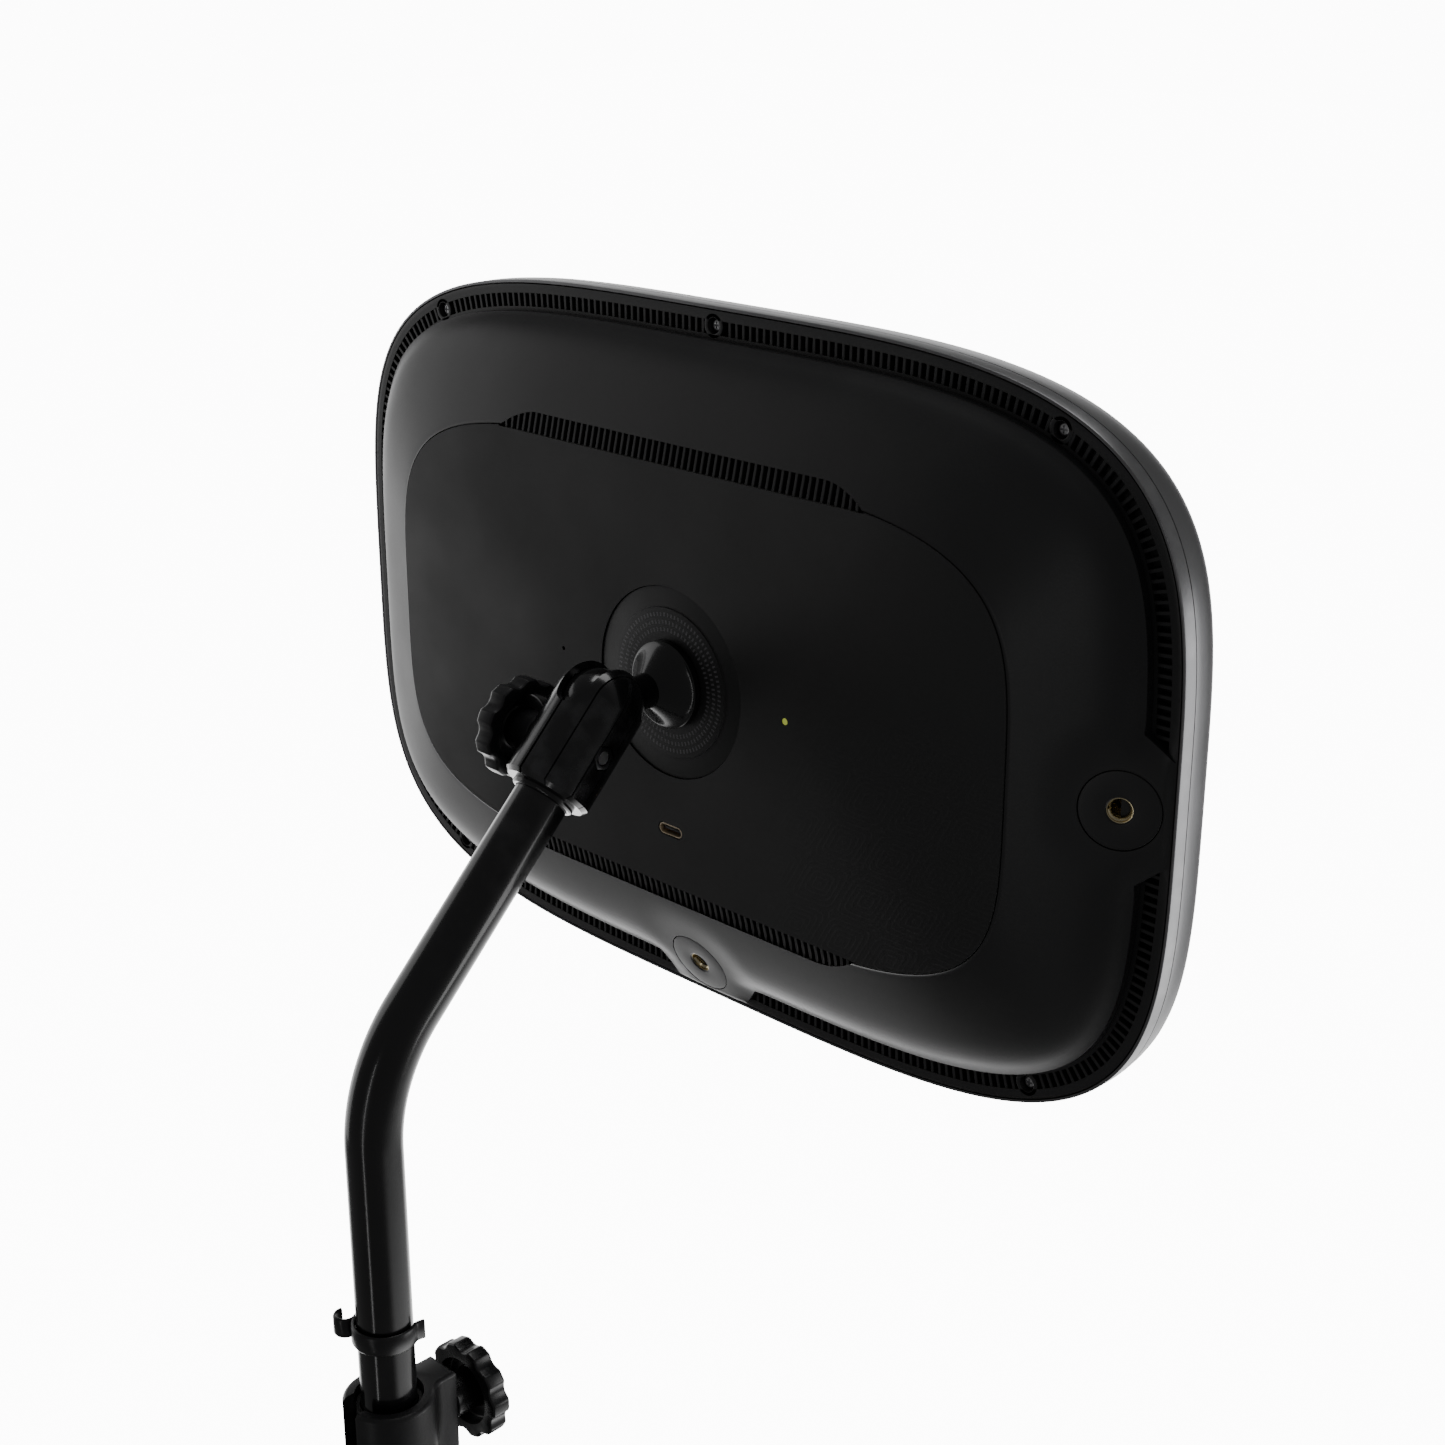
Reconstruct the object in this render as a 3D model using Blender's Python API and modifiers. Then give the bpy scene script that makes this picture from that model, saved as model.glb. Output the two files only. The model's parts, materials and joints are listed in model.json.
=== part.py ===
"""Smart LED panel light: a flat light panel on a ball head, a bent pole and a desk clamp.

Frame: metres, +Z up. The origin is the middle of the rubber pad under the clamp's top jaw, where the
lamp rests on a desk top. The light shines towards -Y, and the pole stands behind it at +Y.
"""
import bmesh
import bpy
from math import asin, atan2, cos, hypot, pi, radians, sin
from mathutils import Matrix, Vector

MM = 0.001
FIT = 0.3 * MM              # gap between two pieces that touch or pass through each other

# Panel body. Depths run forward from the face of the back plate.
PANEL_WIDTH = 304 * MM
PANEL_HEIGHT = 200 * MM
PANEL_CURVE = 3.9           # exponent of the body's superellipse outline
PANEL_Z = 251 * MM          # height of the panel's middle above the desk
RIM_DEPTH = 17.2 * MM       # flat rim around the dome
SPLIT_DEPTH = 21.5 * MM     # joint between rear shell and front frame
FRONT_DEPTH = 33.0 * MM     # front face of the bezel
SHELL_WALL = 2.0 * MM
FRAME_WALL = 2.4 * MM
CHANNEL_WIDTH = 6.7 * MM    # from the rim's edge to the foot of the dome
DOME_EDGE_DEPTH = 13.0 * MM
LIP_WIDTH = 5.5 * MM
OUTLINE_POINTS = 56

# Back plate, let into the dome
PLATE_WIDTH = 229 * MM
PLATE_HEIGHT = 124.6 * MM
PLATE_CURVE = 4.2
PLATE_THICK = 1.3 * MM

# Louvre openings above and below the back plate
LOUVRE_LENGTH = 124 * MM
LOUVRE_WIDTH = 4.2 * MM
LOUVRE_DEEP = 2.2 * MM

# Threaded sockets on the side and the bottom
SOCKET_INSET = 12.0 * MM    # from the body's edge to the socket's middle
SOCKET_RADIUS = 10.0 * MM
SOCKET_THICK = 1.6 * MM
SOCKET_SINK = 0.25 * MM     # how far the disc sits below the dome
THREAD_RADIUS = 2.6 * MM    # core of a 1/4 inch camera thread
INSERT_RADIUS = 4.3 * MM
INSERT_LENGTH = 8.0 * MM
SOCKET_GAP_RIM = 12 * MM    # half of the break in the vent channel, at the rim
SOCKET_GAP_DOME = 17.5 * MM     # and at the dome

# Port, status light and reset hole
PORT_DROP = 43.3 * MM
PORT_WIDTH = 8.94 * MM
PORT_HEIGHT = 3.16 * MM
SIGNAL_REACH = 43 * MM      # status light and reset hole from the middle
LIGHT_PIPE_RADIUS = 0.9 * MM
RESET_HOLE_RADIUS = 0.7 * MM
BUTTON_TRAVEL = 0.4 * MM

# Inner parts
BOARD_WIDTH = 104 * MM
BOARD_HEIGHT = 64 * MM
BOARD_THICK = 1.6 * MM
BOARD_DEPTH = 11.3 * MM
BOARD_Z = -22 * MM
PAN_THICK = 1.5 * MM
PAN_DEPTH = 22.6 * MM
REFLECTOR_THICK = 0.5 * MM
GUIDE_THICK = 3.0 * MM
GUIDE_INSET = 10.8 * MM
DIFFUSER_THICK = 2.0 * MM
STRIP_LENGTH = 150 * MM
STRIP_THICK = 1.2 * MM
SCREW_INSET = 5.3 * MM
SCREW_SHANK = 1.1 * MM
SCREW_HEAD = 1.9 * MM
SCREW_HEAD_THICK = 1.5 * MM
CORNER_SCREW_X = 115 * MM

# Ball head
MOUNT_DISC_RADIUS = 21.2 * MM
MOUNT_GROOVE_RADIUS = 27.2 * MM
BALL_OUT = 26.1 * MM        # from the back plate to the ball's centre
BALL_RADIUS = 10.2 * MM
NECK_RADIUS = 4.7 * MM
STUD_BASE_RADIUS = 12.3 * MM
STUD_BASE_THICK = 1.7 * MM
STUD_BOLT_RADIUS = 2.5 * MM
HEAD_RADIUS = 12.3 * MM
HEAD_LENGTH = 27 * MM       # below the ball's centre
HEAD_ANGLE = radians(45)    # lean of the head and the upper pole
HEAD_SPLIT = 0.8 * MM
CLAMP_BOLT_DROP = 12.7 * MM
CLAMP_BOLT_RADIUS = 1.8 * MM
NUT_RADIUS = 3.4 * MM
NUT_THICK = 3.0 * MM

# Knobs
KNOB_RADIUS = 13.9 * MM
KNOB_THICK = 6.1 * MM
KNOB_LOBES = 10
KNOB_SCALLOP = 1.3 * MM
KNOB_HUB_RADIUS = 5.6 * MM
KNOB_HUB_LENGTH = 5.3 * MM
KNOB_RECESS_RADIUS = 9.6 * MM
KNOB_RECESS_DEEP = 3.6 * MM

# Pole
POLE_RADIUS = 7.5 * MM
POLE_WALL = 1.5 * MM
POLE_LEAN_LENGTH = 92 * MM  # from the ball's centre to the bend
POLE_BEND_RADIUS = 49 * MM
POLE_Y = 45 * MM
POLE_BOTTOM_Z = -104 * MM

# Cable clip
CLIP_WALL = 1.2 * MM
CLIP_HEIGHT = 5.8 * MM
CLIP_Z = 97.2 * MM

# Desk clamp
BARREL_RADIUS = 12.4 * MM
BARREL_TOP_Z = 77 * MM
BARREL_BOTTOM_Z = -22 * MM
LINER_WALL = 1.2 * MM
CABLE_SLOT_WIDTH = 8 * MM
CABLE_SLOT_X = 2.5 * MM
WING_WIDTH = 11.4 * MM
WING_FRONT = 18.6 * MM      # from the pole's axis to the face that carries the lock knob
LOCK_Z = 64.7 * MM
LOCK_SCREW_RADIUS = 2.5 * MM
JAW_WIDTH = 29 * MM
JAW_THICK = 8 * MM
JAW_FRONT_Y = -22 * MM
SPINE_FRONT = 24 * MM       # from the pole's axis to the face that meets the desk's edge
PAD_THICK = 2 * MM
PAD_MARGIN = 2.5 * MM
THROAT = 66 * MM
LOWER_JAW_THICK = 12 * MM
FOOT_GAP = 30 * MM          # jaw opening at rest
FOOT_RADIUS = 14 * MM
FOOT_THICK = 5 * MM
FOOT_HUB_RADIUS = 7.5 * MM
FOOT_HUB_LENGTH = 6 * MM
SCREW_RADIUS = 4.7 * MM
HANDLE_RADIUS = 18 * MM
HANDLE_THICK = 13 * MM
HANDLE_TOP_Z = -110 * MM

# Places worked out from the sizes
POLE_REACH = BALL_OUT + POLE_LEAN_LENGTH * sin(HEAD_ANGLE) + POLE_BEND_RADIUS * (1 - cos(HEAD_ANGLE))
PLATE_Y = POLE_Y - POLE_REACH
BALL = Vector((0, PLATE_Y + BALL_OUT, PANEL_Z))
HEAD_FRAME = Matrix.Translation(BALL) @ Matrix.Rotation(HEAD_ANGLE, 4, "X")
PLATE_EDGE = (PANEL_HEIGHT - PLATE_HEIGHT) / 2      # plate's edge from the body's edge
FLOOR_DEPTH = RIM_DEPTH + SHELL_WALL
RECESS_DEPTH = PLATE_THICK + FIT
DOME_SLOPE = atan2(DOME_EDGE_DEPTH, PLATE_EDGE - CHANNEL_WIDTH)

for old in list(bpy.data.objects):
    bpy.data.objects.remove(old, do_unlink=True)
PARTS = bpy.data.collections.new("smart_panel_light")
CUTTERS = bpy.data.collections.new("cutters")
bpy.context.scene.collection.children.link(PARTS)
bpy.context.scene.collection.children.link(CUTTERS)


def material(name, colour, roughness, metallic=0.0):
    found = bpy.data.materials.get(name)
    if found:
        return found
    made = bpy.data.materials.new(name)
    made.use_nodes = True
    shader = made.node_tree.nodes["Principled BSDF"]
    shader.inputs["Base Color"].default_value = (*colour, 1)
    shader.inputs["Roughness"].default_value = roughness
    shader.inputs["Metallic"].default_value = metallic
    return made


SATIN_BLACK = material("satin_black", (0.035, 0.035, 0.037), 0.42)
MATTE_BLACK = material("matte_black", (0.022, 0.022, 0.023), 0.62)
GLOSS_BLACK = material("gloss_black", (0.012, 0.012, 0.013), 0.12)
DARK_METAL = material("dark_anodised", (0.09, 0.09, 0.095), 0.35, 1.0)
STEEL = material("steel", (0.55, 0.55, 0.56), 0.3, 1.0)
ALUMINIUM = material("aluminium", (0.72, 0.72, 0.73), 0.35, 1.0)
BRASS = material("brass", (0.78, 0.62, 0.32), 0.3, 1.0)
RUBBER = material("rubber", (0.03, 0.03, 0.03), 0.85)
OPAL = material("opal_diffuser", (0.93, 0.93, 0.91), 0.5)
ACRYLIC = material("clear_acrylic", (0.85, 0.9, 0.92), 0.1)
BOARD_GREEN = material("board_green", (0.02, 0.12, 0.06), 0.45)
CHIP = material("chip_plastic", (0.03, 0.03, 0.032), 0.5)
WHITE = material("white_film", (0.9, 0.9, 0.9), 0.6)


def new_object(name, mesh, skin, collection=None):
    made = bpy.data.objects.new(name, mesh)
    (collection or PARTS).objects.link(made)
    if skin:
        mesh.materials.append(skin)
    if collection is CUTTERS:
        made.hide_render = True
        made.display_type = "WIRE"
    return made


def from_bmesh(name, bm, skin, collection=None):
    bmesh.ops.recalc_face_normals(bm, faces=bm.faces)
    mesh = bpy.data.meshes.new(name)
    bm.to_mesh(mesh)
    bm.free()
    made = new_object(name, mesh, skin, collection)
    mesh.set_sharp_from_angle(angle=radians(30))
    return made


def box(name, low, high, skin=None, collection=None, frame=Matrix()):
    """A box between two corners, placed by a frame."""
    low, high = Vector(low), Vector(high)
    bm = bmesh.new()
    bmesh.ops.create_cube(bm, size=1, matrix=Matrix.Translation((low + high) / 2)
                          @ Matrix.Diagonal((*(high - low), 1)))
    made = from_bmesh(name, bm, skin, collection)
    made.matrix_world = frame
    return made


def rod(name, radius, start, end, skin=None, collection=None, frame=Matrix(), sides=32):
    """A cylinder between two points, placed by a frame."""
    start, end = Vector(start), Vector(end)
    along = end - start
    bm = bmesh.new()
    turn = along.to_track_quat("Z", "Y").to_matrix().to_4x4()
    bmesh.ops.create_cone(bm, cap_ends=True, segments=sides, radius1=radius, radius2=radius,
                          depth=along.length, matrix=Matrix.Translation((start + end) / 2) @ turn)
    made = from_bmesh(name, bm, skin, collection)
    made.matrix_world = frame
    return made


def prism(name, shape, low, high, skin=None, collection=None, frame=Matrix()):
    """A straight prism along Y over an outline of (x, z) points."""
    bm = bmesh.new()
    rows = [[bm.verts.new((x, y, z)) for x, z in shape] for y in (low, high)]
    for row in rows:
        bm.faces.new(row)
    for i in range(len(shape)):
        j = (i + 1) % len(shape)
        bm.faces.new((rows[0][i], rows[0][j], rows[1][j], rows[1][i]))
    made = from_bmesh(name, bm, skin, collection)
    made.matrix_world = frame
    return made


def turned(name, profile, skin=None, collection=None, frame=Matrix(), steps=32, ring=False):
    """A turned shape about Z from (radius, height) points, given top to bottom on the outer side."""
    mesh = bpy.data.meshes.new(name)
    points = [(radius, 0, height) for radius, height in profile]
    edges = [(i, i + 1) for i in range(len(points) - 1)]
    if ring:
        edges.append((len(points) - 1, 0))
    mesh.from_pydata(points, edges, [])
    made = new_object(name, mesh, skin, collection)
    screw = made.modifiers.new("Turn", "SCREW")
    screw.steps = steps
    screw.render_steps = steps
    screw.use_merge_vertices = True
    screw.merge_threshold = 0.00001
    made.matrix_world = frame
    return made


def superellipse(half_width, half_height, exponent, count=OUTLINE_POINTS):
    """Points (x, z) of a superellipse, counter-clockwise seen from the rear of the frame."""
    points = []
    for i in range(count):
        angle = 2 * pi * (i + 0.5) / count
        c, s = cos(angle), sin(angle)
        x = half_width * abs(c) ** (2 / exponent) * (1 if c > 0 else -1)
        z = half_height * abs(s) ** (2 / exponent) * (1 if s > 0 else -1)
        points.append((x, z))
    return points


def inset(points, distance):
    """The outline moved inward along its normals."""
    moved = []
    count = len(points)
    for i in range(count):
        x0, z0 = points[i - 1]
        x1, z1 = points[(i + 1) % count]
        length = hypot(x1 - x0, z1 - z0)
        moved.append((points[i][0] - distance * (z1 - z0) / length,
                      points[i][1] + distance * (x1 - x0) / length))
    return moved


BODY_LINE = superellipse(PANEL_WIDTH / 2, PANEL_HEIGHT / 2, PANEL_CURVE)
PLATE_LINE = superellipse(PLATE_WIDTH / 2, PLATE_HEIGHT / 2, PLATE_CURVE)


def dome_line(distance):
    """Outline of the dome at a distance from the body's edge: the body's line, then the plate's."""
    start = CHANNEL_WIDTH + SHELL_WALL
    if distance <= start:
        return inset(BODY_LINE, distance)
    share = min(1.0, (distance - start) / (PLATE_EDGE - start))
    outer = inset(BODY_LINE, start)
    return [(a[0] + share * (b[0] - a[0]), a[1] + share * (b[1] - a[1]))
            for a, b in zip(outer, PLATE_LINE)]


def dome_depth(distance):
    """Depth of the dome's surface: nearly a cone, a little rounder towards the plate."""
    share = (distance - CHANNEL_WIDTH) / (PLATE_EDGE - CHANNEL_WIDTH)
    return DOME_EDGE_DEPTH * (1 - share) * (1 - 0.25 * share)


def panel_point(x, z, depth):
    return Vector((x, PLATE_Y - depth, PANEL_Z + z))


def loft(name, rings, skin=None, collection=None, closed=False):
    """A skin over (outline, depth) rings, capped at both ends or closed on itself."""
    bm = bmesh.new()
    rows = [[bm.verts.new(panel_point(x, z, depth)) for x, z in outline] for outline, depth in rings]
    pairs = list(zip(rows, rows[1:]))
    if closed:
        pairs.append((rows[-1], rows[0]))
    else:
        bm.faces.new(rows[0])
        bm.faces.new(rows[-1])
    for row_a, row_b in pairs:
        for i in range(len(row_a)):
            j = (i + 1) % len(row_a)
            bm.faces.new((row_a[i], row_a[j], row_b[j], row_b[i]))
    return from_bmesh(name, bm, skin, collection)


def boolean(target, tool, operation="DIFFERENCE"):
    step = target.modifiers.new(tool.name, "BOOLEAN")
    step.operation = operation
    step.object = tool
    step.solver = "EXACT"


def cut(target, *tools):
    for tool in tools:
        boolean(target, tool)


def join(target, *tools):
    for tool in tools:
        boolean(target, tool, "UNION")


def body_edge(x):
    """Height of the body's outline above its middle at a distance x from the middle."""
    return PANEL_HEIGHT / 2 * (1 - (abs(x) / (PANEL_WIDTH / 2)) ** PANEL_CURVE) ** (1 / PANEL_CURVE)


def case_screw_places():
    """Middles (x, z) of the case screws: three along the top and two at the bottom corners."""
    places = [(0, PANEL_HEIGHT / 2 - SCREW_INSET)]
    rise = body_edge(CORNER_SCREW_X)
    step = 1 * MM
    slope = (body_edge(CORNER_SCREW_X + step) - rise) / step
    length = hypot(slope, 1)
    x = CORNER_SCREW_X + SCREW_INSET * slope / length
    z = rise - SCREW_INSET / length
    return places + [(x, z), (-x, z), (x, -z), (-x, -z)]


def board_screw_places():
    reach_x = BOARD_WIDTH / 2 - 4 * MM
    reach_z = BOARD_HEIGHT / 2 - 4 * MM
    return [(sx * reach_x, BOARD_Z + sz * reach_z) for sx in (1, -1) for sz in (1, -1)]


def socket_frames():
    """Frames of the side and bottom sockets: the middle of the disc's face, +Z outward."""
    depth = dome_depth(SOCKET_INSET) + SOCKET_SINK
    side = Matrix.Translation(panel_point(-(PANEL_WIDTH / 2 - SOCKET_INSET), 0, depth))
    side = side @ Matrix.Rotation(DOME_SLOPE, 4, "Z") @ Matrix.Rotation(-pi / 2, 4, "X")
    bottom = Matrix.Translation(panel_point(0, -(PANEL_HEIGHT / 2 - SOCKET_INSET), depth))
    bottom = bottom @ Matrix.Rotation(-pi / 2 - DOME_SLOPE, 4, "X")
    return {"side": side, "bottom": bottom}


def vent_channel():
    """The flat channel around the dome, broken at the two sockets."""
    far = -6 * MM
    outer = inset(BODY_LINE, -5 * MM)
    inner = inset(BODY_LINE, CHANNEL_WIDTH)
    ring = loft("channel_cutter", [(inner, RIM_DEPTH), (inner, far), (outer, far), (outer, RIM_DEPTH)],
                collection=CUTTERS, closed=True)
    for side, frame in (("side", Matrix.Rotation(-pi / 2, 4, "Y")), ("bottom", Matrix.Rotation(pi, 4, "Y"))):
        reach = (PANEL_WIDTH if side == "side" else PANEL_HEIGHT) / 2
        near = reach - CHANNEL_WIDTH
        spread = (SOCKET_GAP_DOME - SOCKET_GAP_RIM) / CHANNEL_WIDTH
        foot, head = near - 6 * MM, reach + 8 * MM
        wide = SOCKET_GAP_DOME + (near - foot) * spread
        narrow = SOCKET_GAP_DOME + (near - head) * spread
        shape = [(-wide, foot), (wide, foot), (narrow, head), (-narrow, head)]
        cut(ring, prism("channel_break_" + side, shape, -(FLOOR_DEPTH + 2 * MM), 8 * MM, collection=CUTTERS,
                        frame=Matrix.Translation(panel_point(0, 0, 0)) @ frame))
    return ring


def louvre_box(name, sign, grow, deep, skin=None, collection=None):
    """The pocket beside the plate's long edge, or the grille that sits in it."""
    near = PLATE_HEIGHT / 2 + FIT
    far = near + LOUVRE_WIDTH
    depth = dome_depth(PLATE_EDGE - LOUVRE_WIDTH / 2)
    slope = DOME_SLOPE * 0.75
    frame = Matrix.Translation(panel_point(0, sign * (near + far) / 2, depth))
    frame = frame @ Matrix.Rotation(sign * slope, 4, "X")
    half_z = LOUVRE_WIDTH / 2 * 0.96 + grow
    half_x = LOUVRE_LENGTH / 2 + grow
    top = 4 * MM if collection else -0.6 * MM
    return box(name, (-half_x, -deep, -half_z), (half_x, top, half_z), skin, collection, frame)


def build_rear_shell():
    inner_plate = inset(PLATE_LINE, 2 * MM)
    recess = inset(PLATE_LINE, -FIT)
    roof = RECESS_DEPTH + SHELL_WALL
    channel_inside = CHANNEL_WIDTH + SHELL_WALL
    rings = [(inner_plate, roof), (dome_line(PLATE_EDGE), roof)]
    rings += [(dome_line(d), dome_depth(d) + SHELL_WALL + 0.4 * MM) for d in (22 * MM, channel_inside)]
    rings += [(dome_line(channel_inside), FLOOR_DEPTH), (inset(BODY_LINE, SHELL_WALL), FLOOR_DEPTH)]
    rings += [(inset(BODY_LINE, SHELL_WALL), SPLIT_DEPTH - FIT / 2), (BODY_LINE, SPLIT_DEPTH - FIT / 2)]
    rings += [(BODY_LINE, RIM_DEPTH + 0.4 * MM), (inset(BODY_LINE, 0.4 * MM), RIM_DEPTH)]
    rings += [(dome_line(d), dome_depth(d)) for d in (1.2 * MM, 4.4 * MM, 9.4 * MM, 20 * MM, 29 * MM)]
    rings += [(inset(PLATE_LINE, -1.2 * MM), dome_depth(PLATE_EDGE - 1.2 * MM)), (recess, 0.1 * MM)]
    rings += [(recess, RECESS_DEPTH)]
    shell = loft("rear_shell", rings, SATIN_BLACK)
    boss_top = SPLIT_DEPTH - FIT
    for i, (x, z) in enumerate(case_screw_places()):
        low = panel_point(x, z, RIM_DEPTH + 0.4 * MM)
        join(shell, rod("case_boss_%d" % i, 3.0 * MM, low, panel_point(x, z, boss_top),
                        collection=CUTTERS, sides=20))
    for i, (x, z) in enumerate(board_screw_places()):
        join(shell, rod("board_boss_%d" % i, 2.8 * MM, panel_point(x, z, RECESS_DEPTH + 0.6 * MM),
                        panel_point(x, z, BOARD_DEPTH - FIT), collection=CUTTERS, sides=16))
    sockets = socket_frames()
    for side, frame in sockets.items():
        join(shell, rod("socket_boss_" + side, INSERT_RADIUS + 2 * MM, (0, 0, -INSERT_LENGTH),
                        (0, 0, -SOCKET_THICK / 2), collection=CUTTERS, frame=frame, sides=28))
    cut(shell, vent_channel())
    for i, (x, z) in enumerate(case_screw_places()):
        cut(shell, rod("case_well_%d" % i, SCREW_HEAD + FIT, panel_point(x, z, 0),
                       panel_point(x, z, FLOOR_DEPTH + 0.9 * MM), collection=CUTTERS, sides=18))
        cut(shell, rod("case_hole_%d" % i, SCREW_SHANK + FIT, panel_point(x, z, RIM_DEPTH),
                       panel_point(x, z, boss_top + 2 * MM), collection=CUTTERS, sides=16))
    for i, (x, z) in enumerate(board_screw_places()):
        cut(shell, rod("board_hole_%d" % i, SCREW_SHANK + FIT, panel_point(x, z, roof + 1.2 * MM),
                       panel_point(x, z, BOARD_DEPTH + 2 * MM), collection=CUTTERS, sides=12))
    for side, frame in sockets.items():
        cut(shell, rod("socket_recess_" + side, SOCKET_RADIUS + FIT, (0, 0, -SOCKET_THICK - FIT),
                       (0, 0, 8 * MM), collection=CUTTERS, frame=frame, sides=32))
        cut(shell, rod("socket_bore_" + side, INSERT_RADIUS + FIT, (0, 0, -INSERT_LENGTH - 6 * MM),
                       (0, 0, 2 * MM), collection=CUTTERS, frame=frame, sides=28))
    for label, sign in (("upper", 1), ("lower", -1)):
        cut(shell, louvre_box(label + "_louvre_pocket", sign, 0, LOUVRE_DEEP, collection=CUTTERS))
    cut(shell, port_cutter("shell_port", 0.5 * MM), rod("shell_stud_hole", STUD_BOLT_RADIUS + FIT,
        panel_point(0, 0, -2 * MM), panel_point(0, 0, roof + 3 * MM), collection=CUTTERS))
    for label, x, radius in (("light", -SIGNAL_REACH, LIGHT_PIPE_RADIUS), ("reset", SIGNAL_REACH, RESET_HOLE_RADIUS)):
        cut(shell, rod("shell_%s_hole" % label, radius + FIT, panel_point(x, 0, 0),
                       panel_point(x, 0, roof + 2 * MM), collection=CUTTERS, sides=16))


def port_cutter(name, grow):
    low = panel_point(-PORT_WIDTH / 2 - grow, -PORT_DROP - PORT_HEIGHT / 2 - grow, BOARD_DEPTH)
    high = panel_point(PORT_WIDTH / 2 + grow, -PORT_DROP + PORT_HEIGHT / 2 + grow, -2 * MM)
    return box(name, low, high, collection=CUTTERS)


def build_back_plate():
    plate = loft("back_plate", [(PLATE_LINE, PLATE_THICK), (PLATE_LINE, 0.2 * MM),
                                (inset(PLATE_LINE, 0.2 * MM), 0)], MATTE_BLACK)
    cut(plate, rod("plate_mount_hole", MOUNT_GROOVE_RADIUS, panel_point(0, 0, -1 * MM),
                   panel_point(0, 0, PLATE_THICK + 1 * MM), collection=CUTTERS, sides=40))
    cut(plate, port_cutter("plate_port", FIT))
    for label, x, radius in (("light", -SIGNAL_REACH, LIGHT_PIPE_RADIUS), ("reset", SIGNAL_REACH, RESET_HOLE_RADIUS - FIT)):
        cut(plate, rod("plate_%s_hole" % label, radius + FIT, panel_point(x, 0, -1 * MM),
                       panel_point(x, 0, PLATE_THICK + 1 * MM), collection=CUTTERS, sides=16))
    to_rear = Matrix.Translation(panel_point(0, 0, 0)) @ Matrix.Rotation(-pi / 2, 4, "X")
    hole = STUD_BOLT_RADIUS + FIT
    step = 0.35 * MM
    turned("mount_disc", [(hole, 0), (MOUNT_DISC_RADIUS, 0), (MOUNT_DISC_RADIUS, -step),
                          (MOUNT_GROOVE_RADIUS - FIT, -step), (MOUNT_GROOVE_RADIUS - FIT, -PLATE_THICK),
                          (hole, -PLATE_THICK)], MATTE_BLACK, frame=to_rear, steps=40, ring=True)
    roof = RECESS_DEPTH + SHELL_WALL
    turned("mount_washer_plate", [(hole, -roof - FIT), (19 * MM, -roof - FIT), (19 * MM, -roof - 2 * MM),
                                  (hole, -roof - 2 * MM)], STEEL, frame=to_rear, steps=24, ring=True)


def build_sockets():
    for side, frame in socket_frames().items():
        mouth = THREAD_RADIUS + 0.6 * MM
        turned(side + "_socket_disc", [(mouth, 0), (SOCKET_RADIUS - 0.2 * MM, 0), (SOCKET_RADIUS, -0.2 * MM),
                                       (SOCKET_RADIUS, -SOCKET_THICK), (mouth, -SOCKET_THICK)],
               SATIN_BLACK, frame=frame, steps=32, ring=True)
        top = -SOCKET_THICK - FIT
        bottom = -INSERT_LENGTH - SOCKET_THICK
        turned(side + "_thread_insert", [(THREAD_RADIUS + 0.5 * MM, top), (INSERT_RADIUS, top),
                                         (INSERT_RADIUS, bottom), (THREAD_RADIUS, bottom),
                                         (THREAD_RADIUS, top - 0.5 * MM)],
               BRASS, frame=frame, steps=20, ring=True)


def build_front_frame():
    back = SPLIT_DEPTH + FIT / 2
    wall = inset(BODY_LINE, FRAME_WALL)
    lip_back = FRONT_DEPTH - 1.6 * MM
    rings = [(BODY_LINE, back), (inset(BODY_LINE, 0.5 * MM), 25.5 * MM), (inset(BODY_LINE, 1.2 * MM), 29.1 * MM),
             (inset(BODY_LINE, 2.2 * MM), 31.6 * MM), (inset(BODY_LINE, 4.0 * MM), FRONT_DEPTH),
             (inset(BODY_LINE, LIP_WIDTH + 1.2 * MM), FRONT_DEPTH), (inset(BODY_LINE, LIP_WIDTH + 1.2 * MM), lip_back),
             (inset(BODY_LINE, FRAME_WALL + 0.8 * MM), lip_back), (wall, lip_back - 2.4 * MM), (wall, back)]
    frame = loft("front_frame", rings, DARK_METAL, closed=True)
    post_back = PAN_DEPTH + PAN_THICK + FIT
    for i, (x, z) in enumerate(case_screw_places()):
        join(frame, rod("frame_post_%d" % i, 3.1 * MM, panel_point(x, z, post_back),
                        panel_point(x, z, post_back + 4 * MM), collection=CUTTERS, sides=20))
    for i, (x, z) in enumerate(case_screw_places()):
        cut(frame, rod("frame_hole_%d" % i, SCREW_SHANK + FIT, panel_point(x, z, PAN_DEPTH),
                       panel_point(x, z, post_back + 3.2 * MM), collection=CUTTERS, sides=12))


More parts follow.
